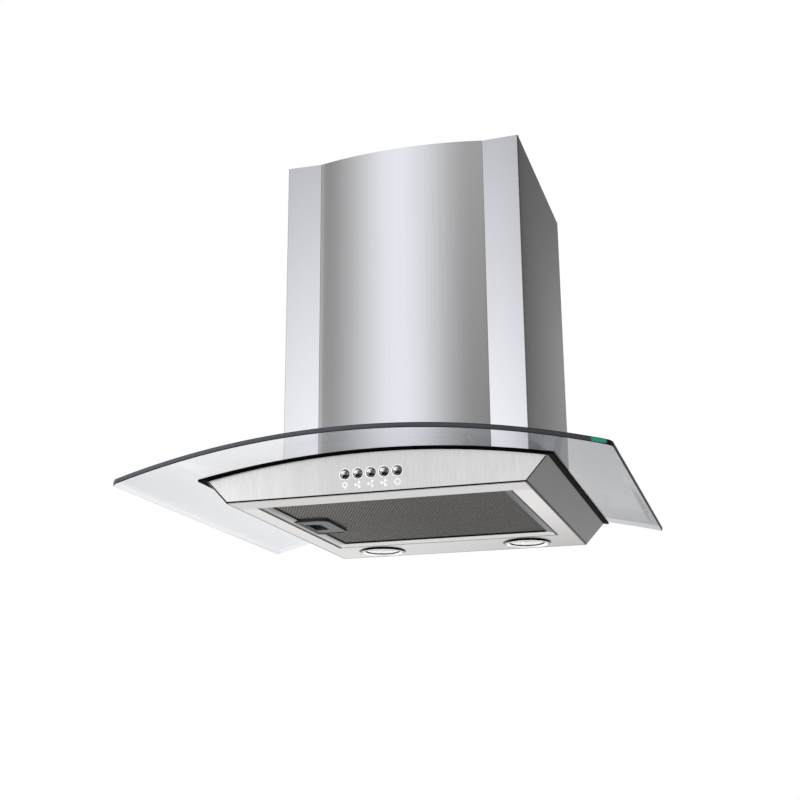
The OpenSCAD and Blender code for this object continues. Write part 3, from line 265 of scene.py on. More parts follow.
class Finish(Net):
    """A procedural material on one Principled shader."""

    def __init__(self, name):
        self.material = bpy.data.materials.new(name)
        self.material.use_nodes = True
        super().__init__(self.material.node_tree)
        self.coords = self.node("ShaderNodeTexCoord", None, None, out="Object")

    def stretched(self, scale):
        """Object coordinates with a scale for all axes, or one for each."""
        scales = scale if isinstance(scale, tuple) else (scale, scale, scale)
        return self.node("ShaderNodeMapping", None, {0: self.coords, 3: scales})

    def noise(self, scale, detail=2.0, rough=0.55):
        """Noise from 0 to 1, with scale in waves per metre."""
        return self.node("ShaderNodeTexNoise", None,
                         {"Vector": self.stretched(scale), "Scale": 1.0,
                          "Detail": detail, "Roughness": rough})

    def cells(self, scale, feature, out):
        """Voronoi cells, with scale in cells per metre."""
        return self.node("ShaderNodeTexVoronoi", {"feature": feature},
                         {"Vector": self.stretched(scale), "Scale": 1.0}, out=out)

    def varied(self, factor, colour, first, second):
        """Colour times a share that goes from first to second with the factor."""
        return self.blend(factor, darker(colour, first), darker(colour, second))

    def place(self):
        """The X, Y and Z values of the shared frame."""
        return self.split(self.coords)

    def above_underside(self, low, high):
        """0 below low and 1 above high, both measured upwards from the hood's underside."""
        return self.slope(self.place()[2] + sizes().hang, low, high)

    def up_chimney(self):
        """0 at the chimney's foot and 1 at its top."""
        return self.slope(self.place()[2], CHIMNEY_FOOT_Z, CHIMNEY_TOP_Z)

    def normal(self):
        """Direction that the surface faces."""
        return self.node("ShaderNodeNewGeometry", None, None, out="Normal")

    def bump(self, height, depth, strength):
        """Normal from a height of 0 to 1 that stands depth metres proud."""
        return self.node("ShaderNodeBump", None,
                         {"Height": height, "Distance": depth, "Strength": strength})

    def shade(self, colour, roughness, normal=None, **constants):
        """Ends the material in a Principled shader."""
        values = {"Base Color": colour, "Roughness": roughness}
        values.update({key.replace("_", " "): value for key, value in constants.items()})
        if normal is not None:
            values["Normal"] = normal
        surface = self.node("ShaderNodeBsdfPrincipled", None, values)
        self.node("ShaderNodeOutputMaterial", None, {0: surface})
        return self.material


def darker(colour, share):
    """Colour times share, which may be above 1; its alpha stays 1."""
    return tuple(c * share for c in colour[:3]) + (1.0,)


# Finishes

def grained_steel(name, colour, waves, depth, roughness, spread, painted_light):
    """Steel whose grain runs where waves is smallest, with faint clouds from polishing.

    fade takes the finish and its colour and gives the colour from place to place, with light and
    shade painted into it."""
    f = Finish(name)
    streak = f.noise(waves, detail=4.0, rough=0.7)
    fine = f.noise(tuple(w * 3 for w in waves))
    band = f.noise(tuple(w / 3 for w in waves))
    patch = f.noise(6.0)
    tone = f.slope(streak * 0.45 + fine * 0.3 + band * 0.25, 0.34, 0.66)
    # the colour from place to place carries painted light and shade
    shade = f.scaled(painted_light(f, colour), tone * spread + (1 - spread / 2))
    shade = f.blend(patch * 0.2, shade, f.scaled(shade, 0.94))
    rough = tone * 0.05 + (roughness - 0.04) + patch * 0.03
    return f.shade(shade, rough, f.bump(tone, depth, 0.35), Metallic=1.0)


def front_fade(f, colour):
    """Painted light: lighter towards the hood's left end, with a painted highlight along the edge
    under the seal.
    """
    x, _, z = f.place()
    above_axis = z - (arch_z(0) - arch_radius())
    reach = (x * x + above_axis * above_axis) ** 0.5
    seal = arch_radius() - sizes().seal_height
    # painted highlight along the panel's top edge, just under the seal
    painted_ridge_highlight = f.step(reach, seal - 1.3 * MM, seal - 0.7 * MM)
    # painted light: lighter towards the left end, a little lighter again towards the right
    along = 1.22 - f.slope(x, -0.21, -0.04) * 0.35 + f.slope(x, 0.02, 0.16) * 0.07
    return f.scaled(colour, along + painted_ridge_highlight * 0.4)


def chimney_fade(f, colour):
    """Painted light and shade: the strips darker towards the ceiling, with a painted dark line at
    the left bend; the sides darker in front.
    """
    x, y = f.place()[:2]
    high = f.up_chimney()
    side = f.step(f.split(f.normal())[0].size(), 0.6, 0.95)
    wall = f.slope(y, -0.3, 0.0)
    # painted light and shade on the sides: darker in front and towards the ceiling, lighter towards
    # the wall
    near = 0.56 - high * 0.34
    far = 1.38 - f.step(high, 0.4, 1.1) * 0.8
    edge = sizes().chimney_width / 2
    # painted dark line along the left bend
    bend = f.step(0 - x, edge - 1.6 * MM, edge - 0.9 * MM)
    # painted shade on the strips: darker towards the ceiling
    strip = (1.11 - high * 0.46) * (1 - bend * 0.8)
    return f.scaled(colour, strip * (1 - side) + (near * (1 - wall) + far * wall) * side)


def underside_fade(f, colour):
    """Painted shade: darker along the front edge, towards the back right corner, and inside the
    tray.
    """
    x, y = f.place()[:2]
    # painted shade towards the back right corner, along the front edge and inside the tray
    corner = f.slope(y, -0.3, 0.0) * f.slope(x, -0.16, 0.19)
    edge = f.step(0 - y, 0.39, 0.405)
    tray = f.above_underside(0.6 * MM, 1.2 * MM)
    return f.scaled(colour, (0.99 - corner * 0.42 - edge * 0.19) * (1 - tray * 0.75))


def side_fade(f, colour):
    """Painted light and shade: lighter towards the wall, and dark along the seam at the underside.
    """
    y = f.place()[1]
    # painted shade along the seam at the underside
    seam = f.above_underside(1.4 * MM, 2.2 * MM) * 0.85 + 0.15
    # painted light: lighter towards the wall
    return f.scaled(colour, (f.slope(y, -0.42, 0.0) * 0.14 + 0.58) * seam)


def frame_fade(f, colour):
    """Painted light and shade: darker towards the mesh and the hood's right, light at the wall's
    end, nearly black at the inner lip and the outer sides.
    """
    x, y = f.place()[:2]
    # painted light: lighter on the outer border and towards the wall, darker towards the mesh
    painted_slope_light = 1.5 - f.above_underside(0.6 * MM, 3 * MM) + f.slope(y, -0.39, -0.12) * 0.45
    # painted highlight at the wall's end
    back = f.step(y, -0.112, -0.104)
    share = painted_slope_light * (1 - f.slope(x, -0.1, 0.15) * 0.68) * (1 - back) + back * 1.9
    half = sizes().filter_width / 2
    # painted shadow at the inner lip and on the outer sides
    edge = f.above_underside(3 * MM, 3.4 * MM) + f.step(x.size(), half - 3.7 * MM, half - 2.9 * MM)
    return f.scaled(colour, share * (1 - edge.at_most(1.0) * 0.97))


def polished_steel(name, colour):
    """Mirror-like steel with faint rolling lines and smears, with painted shade at its upper left
    and lower right and painted light at its upper right.
    """
    f = Finish(name)
    x = f.place()[0]
    high = f.up_chimney()
    # painted shade at the upper left and lower right, painted light at the upper right
    tone = (1 - f.slope(0 - x, 0.085, 0.115) * high * 0.2
            + f.slope(x, 0.03, 0.1) * (high * 0.36 - 0.2))
    lines = f.noise((260.0, 260.0, 1.2))
    smear = f.noise((9.0, 9.0, 4.0), detail=3.0)
    shade = f.scaled(f.varied(lines, colour, 0.96, 1.02), tone)
    rough = smear * 0.05 + lines * 0.02 + 0.04
    return f.shade(shade, rough, f.bump(lines, 0.01 * MM, 0.2), Metallic=1.0)


def chrome(name, colour, roughness=0.05):
    """Bright plating with a faint haze."""
    f = Finish(name)
    haze = f.noise(90.0)
    shade = f.varied(haze, colour, 0.94, 1)
    return f.shade(shade, haze * 0.05 + roughness, Metallic=1.0)


def galvanised(name, colour):
    """Zinc-coated sheet with soft spangles."""
    f = Finish(name)
    flake = f.split(f.cells(130.0, "F1", "Color"))[0]
    cloud = f.noise(20.0, detail=3.0)
    tone = flake * 0.6 + cloud * 0.4
    shade = f.varied(tone, colour, 0.78, 1.08)
    return f.shade(shade, tone * 0.16 + 0.32, f.bump(flake, 0.02 * MM, 0.25), Metallic=0.9)


def plated(name, colour):
    """Zinc-plated small parts, with turning marks and light dulling."""
    f = Finish(name)
    marks = f.noise(700.0)
    dull = f.noise(60.0, detail=3.0)
    shade = f.varied(dull, colour, 0.8, 1.1)
    return f.shade(shade, dull * 0.15 + 0.24, f.bump(marks, 0.01 * MM, 0.3), Metallic=1.0)


def sheet_glass(name, colour):
    """Face of clear toughened glass: nearly clear, greyer at a slant, with painted shade: greyer
    towards both ends, and greyer and darker to the right.
    """
    f = Finish(name)
    slant = f.node("ShaderNodeLayerWeight", None, {"Blend": 0.5}, out="Facing")
    x = f.place()[0]
    film = f.noise(5.0)
    # painted shade: greyer towards both ends, most at the right
    right = f.step(x, 0.165, 0.24)
    painted_right_shade = right * 0.3 + f.slope(x, 0.2, 0.3) * 0.06
    painted_left_shade = f.step(0 - x, 0.05, 0.2) * 0.015 + f.step(0 - x, 0.2, 0.3) * 0.08
    cover = f.step(slant, 0.6, 0.77) * 0.09 + painted_right_shade + painted_left_shade + 0.08 + film * 0.008
    # painted shade: darker to the right
    shade = f.scaled(f.varied(film, colour, 0.95, 1), 1 - right * 0.55)
    return f.shade(shade, film * 0.02 + 0.03, Alpha=cover, IOR=GLASS_IOR)


def glass_rim(name, colour):
    """Polished edge of the glass: slate, darker towards the right as painted shade, with a painted
    green glint before its right corner and painted black shade at that corner.

    Seen from inside the sheet it is as clear as the sheet."""
    f = Finish(name)
    facing = f.normal()
    front = f.step(f.split(facing)[1].size(), 0.5, 0.8)
    inside = Value(f, facing.socket.node.outputs["Backfacing"])
    x = f.place()[0]
    end = sizes().glass_width / 2
    wave = f.noise((30.0, 30.0, 60.0))
    # painted green glint and painted black shade near the right corner
    green = f.step(x, end - 24 * MM, end - 21 * MM) * front * f.step(wave, 0.35, 0.5)
    black = f.step(x, end - 7.5 * MM, end - 5 * MM) * front
    # painted shade: darker towards the right
    slate = f.scaled(f.varied(wave, colour, 0.8, 1.15),
                     1 - f.slope(x, -0.25, 0.2) * 0.6)
    shade = f.blend(black, f.blend(green, slate, paint("#1C7A64")), paint("#0B0D0E"))
    return f.shade(shade, wave * 0.05 + 0.3, IOR=GLASS_IOR,
                   Alpha=1.0 - inside * INSIDE_CLEAR, Specular_IOR_Level=0.3)


def glass_arris(name, colour):
    """Ground corner of the glass's edge: nearly black as painted shade, and clear from inside the
    sheet.
    """
    f = Finish(name)
    inside = Value(f, f.normal().socket.node.outputs["Backfacing"])
    wave = f.noise(40.0)
    # nearly black: painted shade along the arris
    shade = f.varied(wave, colour, 0.1, 0.22)
    return f.shade(shade, wave * 0.1 + 0.35, IOR=GLASS_IOR,
                   Alpha=1.0 - inside * INSIDE_CLEAR, Specular_IOR_Level=0.1)


def rubber(name, colour):
    """Black rubber with a faint bloom."""
    f = Finish(name)
    grain = f.noise(900.0)
    bloom = f.noise(25.0, detail=3.0)
    shade = f.varied(bloom, colour, 1, 1.9)
    return f.shade(shade, bloom * 0.12 + 0.6, f.bump(grain, 0.03 * MM, 0.3),
                   Specular_IOR_Level=0.02)


def frosted_glass(name):
    """Pressed lamp glass, frosted inside, with small pebbles."""
    f = Finish(name)
    pebble = f.cells(420.0, "SMOOTH_F1", "Distance")
    shade = f.blend(pebble, paint("#F4F4F2"), paint("#DCDCDA"))
    return f.shade(shade, pebble * 0.1 + 0.16, f.bump(pebble, 0.2 * MM, 0.6),
                   IOR=GLASS_IOR, Transmission_Weight=0.25, Coat_Weight=0.5)


def mesh_metal(name, colour):
    """Dull aluminium mesh, stained, with painted light lighter at the left and in front, and a
    painted shadow along its rim.
    """
    f = Finish(name)
    stain = f.noise(22.0, detail=4.0)
    wire = f.noise((1500.0, 1500.0, 300.0))
    shade = f.varied(stain, colour, 0.8, 1.15)
    x, y = f.place()[:2]
    half = sizes().filter_width / 2
    # painted shadow along the rim of the mesh
    rim = (f.step(x.size(), half - 15.3 * MM, half - 14.6 * MM)
           + f.step(y, -0.1095, -0.1085)).at_most(1.0)
    # painted light: lighter at the left and in front
    painted_light = (1.05 - f.slope(x, -0.13, 0.02) * 0.47) * (1 - f.slope(y, -0.35, -0.22) * 0.22)
    shade = f.scaled(shade, painted_light * (1 - rim * 0.85))
    return f.shade(shade, wire * 0.15 + 0.4, f.bump(wire, 0.03 * MM, 0.4), Metallic=0.7)


def anodised(name, colour):
    """Drawn and anodised aluminium, with painted light and shade, darker towards the right."""
    f = Finish(name)
    drawn = f.noise((40.0, 600.0, 600.0), detail=3.0)
    shade = f.scaled(frame_fade(f, colour), drawn * 0.2 + 0.88)
    return f.shade(shade, drawn * 0.12 + 0.34, f.bump(drawn, 0.02 * MM, 0.3), Metallic=0.85)


def moulded(name, colour, roughness, grain_depth=0.05 * MM, sheen=0.0):
    """Moulded plastic with a spark-eroded grain and rubbed spots."""
    f = Finish(name)
    grain = f.noise(1300.0)
    rubbed = f.noise(30.0, detail=3.0)
    shade = f.varied(rubbed, colour, 0.88, 1.12)
    return f.shade(shade, grain * 0.08 + rubbed * 0.08 + (roughness - 0.08),
                   f.bump(grain, grain_depth, 0.35), Metallic=sheen)


def printed(name, colour):
    """Screen-printed ink."""
    f = Finish(name)
    ink = f.noise(800.0)
    shade = f.varied(ink, colour, 0.94, 1)
    return f.shade(shade, ink * 0.1 + 0.45, f.bump(ink, 0.01 * MM, 0.3))


FINISH = {}


def make_finishes(colours):
    """Fills FINISH with a material for each slot of the record, and the few extra ones."""
    FINISH.update({
        "brushed_steel_front": grained_steel(
            "brushed_steel_front_grain", colours.front_steel, (420.0, 420.0, 9.0),
            0.03 * MM, 0.3, 0.24, front_fade),
        "satin_steel_body": grained_steel(
            "satin_steel_body_grain", colours.body_steel, (14.0, 500.0, 500.0),
            0.02 * MM, 0.34, 0.05, underside_fade),
        # a copy of the body's steel with painted light and shade for the side panels
        "satin_steel_side": grained_steel(
            "satin_steel_side_grain", colours.body_steel, (500.0, 14.0, 500.0),
            0.02 * MM, 0.34, 0.05, side_fade),
        "satin_steel_chimney": grained_steel(
            "satin_steel_chimney_grain", colours.chimney_steel, (700.0, 700.0, 12.0),
            0.01 * MM, 0.3, 0.03, chimney_fade),
        "polished_steel": polished_steel("polished_steel_front", colours.polished_steel),
        "galvanised_sheet": galvanised("galvanised_spangle", colours.zinc),
        "zinc_hardware": plated("zinc_plated_hardware", colours.zinc),
        "clear_glass": sheet_glass("clear_glass_face", colours.glass),
        "glass_rim": glass_rim("clear_glass_rim", colours.glass_rim),
        "glass_arris": glass_arris("clear_glass_arris", colours.glass_rim),
        "black_rubber": rubber("black_rubber_bloom", colours.rubber),
        "chrome_trim": chrome("chrome_plating", paint("#E6E7E8")),
        # chrome painted grey: painted shade on the button collars
        "dark_chrome": chrome("dark_chrome_plating", paint("#77787A"), 0.08),
        # chrome painted nearly black: painted shade on the lamp rings
        "black_chrome": chrome("black_chrome_plating", paint("#1C1D1F"), 0.12),
        "frosted_glass": frosted_glass("frosted_lamp_glass"),
        "filter_aluminium": anodised("anodised_filter_frame", colours.filter_frame),
        "filter_mesh": mesh_metal("filter_mesh_stained", colours.filter_mesh),
        # the filter's core, nearly black: painted shade behind the perforated sheet
        "filter_core_painted_shade": mesh_metal("filter_core_shade", darker(colours.filter_mesh, 0.02)),
        "dark_plastic": moulded("dark_plastic_pull", colours.pull, 0.4, sheen=0.3),
        "black_plastic": moulded("black_plastic_grain", paint("#202224"), 0.45),
        "white_plastic": moulded("white_plastic_grain", paint("#E9E8E3"), 0.4),
        "motor_paint": moulded("motor_enamel", paint("#3A3D40"), 0.36, 0.1 * MM, 0.2),
        # white rim of the button collars: a painted highlight
        "collar_white": moulded("button_collar", paint("#FFFFFE"), 0.3),
        "sign_ink": printed("sign_ink_white", colours.sign),
    })


# Meshes

def sizes():
    """The sizes that the user has set."""
    return bpy.context.scene.hood_sizes


def arch_radius():
    """Radius of the glass's lower face."""
    s = sizes()
    return ((s.glass_width / 2) ** 2 + s.glass_rise ** 2) / (2 * s.glass_rise)


def arch_z(x, level=0.0):
    """Height of the arch at x, level above the glass's lower face, in the shared frame."""
    s = sizes()
    r = arch_radius()
    axis = s.glass_edge + s.glass_rise - r - s.hang
    return axis + math.sqrt((r + level) ** 2 - x * x)


def mesh_of(name, bm):
    """A mesh of a bmesh, which is freed."""
    mesh = bpy.data.meshes.new(name)
    bm.to_mesh(mesh)
    bm.free()
    return mesh


def placed(name, data):
    """A new object in the scene."""
    made = bpy.data.objects.new(name, data)
    bpy.context.scene.collection.objects.link(made)
    return made


def new_piece(name, bm, finishes, body, replaced=(), sharp=30.0):
    """Makes a named piece of a bmesh: outward normals, smooth shading, its finish and its body."""
    bmesh.ops.remove_doubles(bm, verts=bm.verts, dist=WELD)
    bmesh.ops.recalc_face_normals(bm, faces=bm.faces)
    finish_piece(name, mesh_of(name, bm), finishes, body, replaced, sharp)


def finish_piece(name, mesh, finishes, body, replaced, sharp=None):
    """Makes a named piece of a mesh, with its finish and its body.

    sharp is the angle past which an edge shows, or None where the shading is done."""
    if sharp is not None:
        mesh.shade_smooth()
        mesh.set_sharp_from_angle(angle=math.radians(sharp))
    for place, finish in enumerate(finishes):
        if place < len(mesh.materials):
            mesh.materials[place] = FINISH[finish]
        else:
            mesh.materials.append(FINISH[finish])
    piece = placed(name, mesh)
    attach(piece, body)
    if replaced:
        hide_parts(*replaced)


def applied(name, obj):
    """The evaluated mesh of an object as a new mesh; the object is removed."""
    graph = bpy.context.evaluated_depsgraph_get()
    mesh = bpy.data.meshes.new_from_object(obj.evaluated_get(graph))
    mesh.name = name
    old = obj.data
    bpy.data.objects.remove(obj)
    if old.users == 0:
        bpy.data.meshes.remove(old)
    return mesh


def welded_copy(node):
    """A bmesh of a CAD node with its doubles merged and its flat faces joined."""
    bm = bmesh.new()
    bm.from_mesh(NODES[node].data)
    bmesh.ops.remove_doubles(bm, verts=bm.verts, dist=WELD)
    bmesh.ops.dissolve_limit(bm, angle_limit=math.radians(0.6), verts=bm.verts, edges=bm.edges)
    return bm


def eased(node, slot, radius, finish=None):
    """Stands for a CAD node with a copy whose sharp edges are eased by radius."""
    mesh = mesh_of(node + "_soft", welded_copy(node))
    mesh.shade_smooth()
    blank = placed(node + "_blank", mesh)
    easing = blank.modifiers.new("eased edges", "BEVEL")
    easing.width = radius
    easing.segments = 2
    easing.limit_method = "ANGLE"
    easing.angle_limit = math.radians(28)
    easing.use_clamp_overlap = False
    weighting = blank.modifiers.new("flat faces", "WEIGHTED_NORMAL")
    weighting.mode = "FACE_AREA"
    weighting.weight = 90
    name = node + "_eased"
    finish_piece(name, applied(name, blank), [finish or slot], BODY_OF[node], [node])


def lathe(name, profile, place, finishes, body, replaced=(), segments=48, bands=None,
          sharp=35.0):
    """Turns a profile of (radius, height) points about Z, then puts it in place.

    bands is the finish of each step of the profile, by its place in finishes."""
    bm = bmesh.new()
    rings = []
    for radius, height in profile:
        if radius == 0:
            rings.append([bm.verts.new((0, 0, height))])
        else:
            rings.append([bm.verts.new((radius * math.cos(a), radius * math.sin(a), height))
                          for a in (2 * math.pi * i / segments for i in range(segments))])
    for k, (low, high) in enumerate(zip(rings, rings[1:])):
        for i in range(segments):
            j = (i + 1) % segments
            around = ((low, i), (low, j), (high, j), (high, i))
            corners = list(dict.fromkeys(ring[n % len(ring)] for ring, n in around))
            if len(corners) > 2:
                face = bm.faces.new(corners)
                face.material_index = bands[k] if bands else 0
    bmesh.ops.transform(bm, matrix=place, verts=bm.verts)
    new_piece(name, bm, finishes, body, replaced, sharp)


def arc(centre, radius, start, end, steps):
    """Points on an arc, with angles in degrees."""
    return [(centre[0] + radius * math.cos(math.radians(start + (end - start) * i / steps)),
             centre[1] + radius * math.sin(math.radians(start + (end - start) * i / steps)))
            for i in range(steps + 1)]


def outward(loop):
    """Unit normals of a closed loop of points that turns anticlockwise."""
    made = []
    for i, here in enumerate(loop):
        before, after = loop[i - 1], loop[(i + 1) % len(loop)]
        first = Vector((here[1] - before[1], before[0] - here[0])).normalized()
        second = Vector((after[1] - here[1], here[0] - after[0])).normalized()
        middle = (first + second).normalized()
        made.append(middle / max(middle.dot(first), 0.5))
    return made


def rolled_sheet(loops, cuts, edge, shape):
    """A sheet with eased edges, from plan loops: the outline anticlockwise, the holes clockwise.

    cuts are the X places where the sheet is divided, edge the list of (inset, level) steps from
    its lower to its upper face, and shape the function that lays (x, y, level) in space."""
    bm = bmesh.new()
    rings = []
    for loop in loops:
        normals = outward(loop)
        inset = edge[0][0]
        rings.append([(bm.verts.new((p[0] - n[0] * inset, p[1] - n[1] * inset, 0)), Vector(p), n)
                      for p, n in zip(loop, normals)])
    edges = [bm.edges.new((ring[i][0], ring[(i + 1) % len(ring)][0]))
             for ring in rings for i in range(len(ring))]
    bmesh.ops.triangle_fill(bm, edges=edges, use_beauty=True, use_dissolve=True)
    for x in cuts:
        geometry = bm.verts[:] + bm.edges[:] + bm.faces[:]
        bmesh.ops.bisect_plane(bm, geom=geometry, dist=SAME_SPOT,
                               plane_co=(x, 0, 0), plane_no=(1, 0, 0))
    lower = bm.faces[:]
    for face in lower:
        if face.normal.z > 0:
            face.normal_flip()
    copied = bmesh.ops.duplicate(bm, geom=lower)
    upper = [g for g in copied["geom"] if isinstance(g, bmesh.types.BMFace)]
    bmesh.ops.reverse_faces(bm, faces=upper)
    on_top = {vert for face in upper for vert in face.verts}
    flat = {vert: shape(vert.co.x, vert.co.y, edge[-1 if vert in on_top else 0][1])
            for vert in bm.verts}
    for border in boundary_loops(lower, rings):
        lines = [[bm.verts.new(shape(p[0] - n[0] * inset, p[1] - n[1] * inset, level))
                  for p, n in border] for inset, level in edge]
        flat.update({v: v.co.copy() for line in lines for v in line})
        flat_band = len(lines) // 2 - 1
        for band, (low, high) in enumerate(zip(lines, lines[1:])):
            for i in range(len(low)):
                j = (i + 1) % len(low)
                face = bm.faces.new((low[i], low[j], high[j], high[i]))
                face.material_index = 1 if band == flat_band else 2
    for vert, place in flat.items():
        vert.co = place
    return bm


def boundary_loops(faces, rings):
    """Plan points and normals of each border of the divided faces, with those of the cuts."""
    ends = {}
    for face in faces:
        for edge in face.edges:
            if sum(f in faces for f in edge.link_faces) == 1:
                for vert in edge.verts:
                    ends.setdefault(vert, []).append(edge.other_vert(vert))
    spots = [(Vector(v.co.xy), p, n) for ring in rings for v, p, n in ring]
    made, left = [], dict.fromkeys(ends)
    while left:
        start = next(iter(left))
        chain, here = [], start
        while here in left:
            del left[here]
            chain.append(here)
            here = next((v for v in ends[here] if v in left), start)
        made.append([nearest_spot(Vector(v.co.xy), spots) for v in chain])
    return made


def nearest_spot(at, spots):
    """The plan point and normal of a border vertex: its own, or its share along its edge."""
    near = sorted(spots, key=lambda s: (s[0] - at).length_squared)[:2]
    if (near[0][0] - at).length < SAME_SPOT:
        return near[0][1], near[0][2]
    normal = (near[0][2] + near[1][2]).normalized()
    offset = near[0][1] - near[0][0]
    return at + normal * offset.dot(normal), normal


def folded_sheet(bm, path, thickness, low, high):
    """Adds a wall of sheet with its outer face on a plan path and its back to the left."""
    backs = []
    for i, here in enumerate(path):
        before = path[max(i - 1, 0)]
        after = path[min(i + 1, len(path) - 1)]
        steps = [Vector((b[0] - a[0], b[1] - a[1])).normalized()
                 for a, b in ((before, here), (here, after)) if a != b]
        sides = [Vector((-s.y, s.x)) for s in steps]
        middle = sum(sides, Vector((0, 0))).normalized()
        reach = thickness / max(middle.dot(sides[0]), 0.4)
        backs.append((here[0] + middle.x * reach, here[1] + middle.y * reach))
    columns = [[bm.verts.new((p[0], p[1], z(p[0]))) for p in (front, back) for z in (low, high)]
               for front, back in zip(path, backs)]
    for here, after in zip(columns, columns[1:]):
        for a, b in ((0, 1), (1, 3), (3, 2), (2, 0)):
            bm.faces.new((here[a], after[a], after[b], here[b]))
    for end in (columns[0], columns[-1]):
        bm.faces.new((end[0], end[1], end[3], end[2]))


# Pieces

def make_glass():
    """The arched glass canopy with its polished edge and its air hole."""
    s = sizes()
    half, bow = s.glass_width / 2, s.glass_bow
    bow_r = (half * half + bow * bow) / (2 * bow)
    bow_y = bow_r - bow - s.glass_depth
    r, rb = s.glass_corner, s.glass_back_corner
    corner = (half - r, bow_y - math.sqrt((bow_r - r) ** 2 - (half - r) ** 2))
    lean = math.degrees(math.atan2(corner[0], bow_y - corner[1]))
    limit = half - r + r * math.sin(math.radians(lean))
    count = s.arch_steps
    fronts = [-limit + 2 * limit * i / count for i in range(count + 1)]
    front = [(x, bow_y - math.sqrt(bow_r ** 2 - x * x)) for x in fronts]
    right = arc(corner, r, lean - 90, 0, 10)[1:]
    back_right = arc((half - rb, -s.wall_gap - rb), rb, 0, 90, 6)
    outline = front + right + back_right
    outline += [(-x, y) for x, y in reversed(right + back_right)]
    hr = s.hole_corner
    hx, hole_back, hole_front = s.hole_width / 2 - hr, -s.hole_back - hr, -s.hole_front + hr
    hole = []
    for centre, turn in (((hx, hole_back), 90), ((hx, hole_front), 0),
                         ((-hx, hole_front), -90), ((-hx, hole_back), 180)):
        hole += arc(centre, hr, turn, turn - 90, 8)
    a, t = s.glass_arris, s.glass_thick
    edge = [(a, 0), (a * 0.3, a * 0.3), (0, a), (0, t - a), (a * 0.3, t - a * 0.3), (a, t)]
    bm = rolled_sheet([outline, hole], fronts[1:-1], edge,
                      lambda x, y, h: Vector((x, y, arch_z(x, h))))
    new_piece("glass_canopy_sheet", bm, ["clear_glass", "glass_rim", "glass_arris"], "hood",
              ["glass_canopy"], 50.0)


def make_chimney():
    """The chimney's folded sheets: satin sides with their strips, and the polished front."""
    s = sizes()
    half, depth, t = s.chimney_width / 2, s.chimney_depth, s.chimney_sheet
    strip_x = half - s.strip_width
    foot = s.glass_thick + 0.3 * MM
    rail, flange_width, tuck = 10 * MM, 13 * MM, 12 * MM
    r = s.bend_radius

    def low(x):
        return arch_z(x, foot)

    def high(x):
        return s.chimney_top - s.hang

    slope = math.degrees(math.atan2(s.strip_back, s.strip_width))
    gap = s.chimney_seam / 2
    for side, word in ((1, "right"), (-1, "left")):
        strip = [(strip_x + gap, -depth + s.strip_back * (1 - gap / s.strip_width))]
        bend = arc((half - r, -depth + r), r, -90 - slope, 0, 8)
        wall = [(half, -depth * k / 6) for k in (5, 4, 3, 2, 1)]
        flange = arc((half - r, -r), r, 0, 90, 6) + [(half - flange_width, 0.0)]
        path = strip + bend + wall + flange
        if side < 0:
            path = [(-x, y) for x, y in reversed(path)]
        bm = bmesh.new()
        folded_sheet(bm, path, t, low, high)
        foot_rail(bm, side * (half - rail), side * (half - t), -depth + rail, -t, foot, t)
        new_piece(f"chimney_{word}_sheet", bm, ["satin_steel_chimney"], "hood",
                  [f"chimney_{word}"], 25.0)
    edge_x = strip_x - gap
    bulge_r = (strip_x ** 2 + s.front_bulge ** 2) / (2 * s.front_bulge)
    centre_y = bulge_r - s.front_bulge - depth + s.strip_back
    steps = 72
    front = [(x, centre_y - math.sqrt(bulge_r ** 2 - x * x))
             for x in (-edge_x + 2 * edge_x * i / steps for i in range(steps + 1))]
    bm = bmesh.new()
    folded_sheet(bm, front, t, low, high)
    inner = -depth + s.strip_back + t
    for side in (-1, 1):
        path = [(side * strip_x - tuck, inner), (side * strip_x + tuck, inner)]
        folded_sheet(bm, path, t, low, high)
    new_piece("chimney_front_sheet", bm, ["polished_steel"], "hood",
              ["chimney_front"], 25.0)


def foot_rail(bm, x1, x2, y1, y2, level, t):
    """Adds the flange that a chimney side stands on, lying on the arch."""
    section = ((x1, level), (x2, level), (x2, level + t), (x1, level + t))
    corners = [[bm.verts.new((x, y, arch_z(x, h))) for x, h in section] for y in (y1, y2)]
    for i in range(4):
        j = (i + 1) % 4
        bm.faces.new((corners[0][i], corners[0][j], corners[1][j], corners[1][i]))
    bm.faces.new(corners[0])
    bm.faces.new(corners[1])


def make_body():
    """The body's panels with their edges eased, and the rubber seal."""
    sheet_edge = 0.25 * MM
    eased("front_panel", "brushed_steel_front", sheet_edge)
    eased("underside_panel", "satin_steel_body", sheet_edge)
    for node in ("side_panel_left", "side_panel_right", "back_panel"):
        # the side panels take the copy of the body's steel with painted light and shade
        eased(node, "satin_steel_body", sheet_edge, "satin_steel_side")
    eased("glass_seal", "black_rubber", 0.5 * MM)


def front_place(x, up, out):
    """Matrix that lays a thing on the front panel: its Z away from the panel, its Y up."""
    s = sizes()
    lean = s.front_lean
    up_axis = Vector((0, -math.sin(lean), math.cos(lean)))
    out_axis = Vector((0, -math.cos(lean), -math.sin(lean)))
    spot = Vector((x, -s.body_depth, -s.hang)) + up_axis * up + out_axis * out
    turn = Matrix((Vector((1, 0, 0)), up_axis, out_axis)).transposed().to_4x4()
    return Matrix.Translation(spot) @ turn


BUTTONS = {"lamp_button": "lamp_switch", "low_speed_button": "low_switch",
           "middle_speed_button": "middle_switch", "high_speed_button": "high_switch",
           "stop_button": "stop_switch"}


def button_place(i, up, out=0.0):
    """Matrix that lays a thing on the front panel, in line with button i."""
    middle = (len(BUTTONS) - 1) / 2
    return front_place((i - middle) * sizes().button_pitch, up, out)


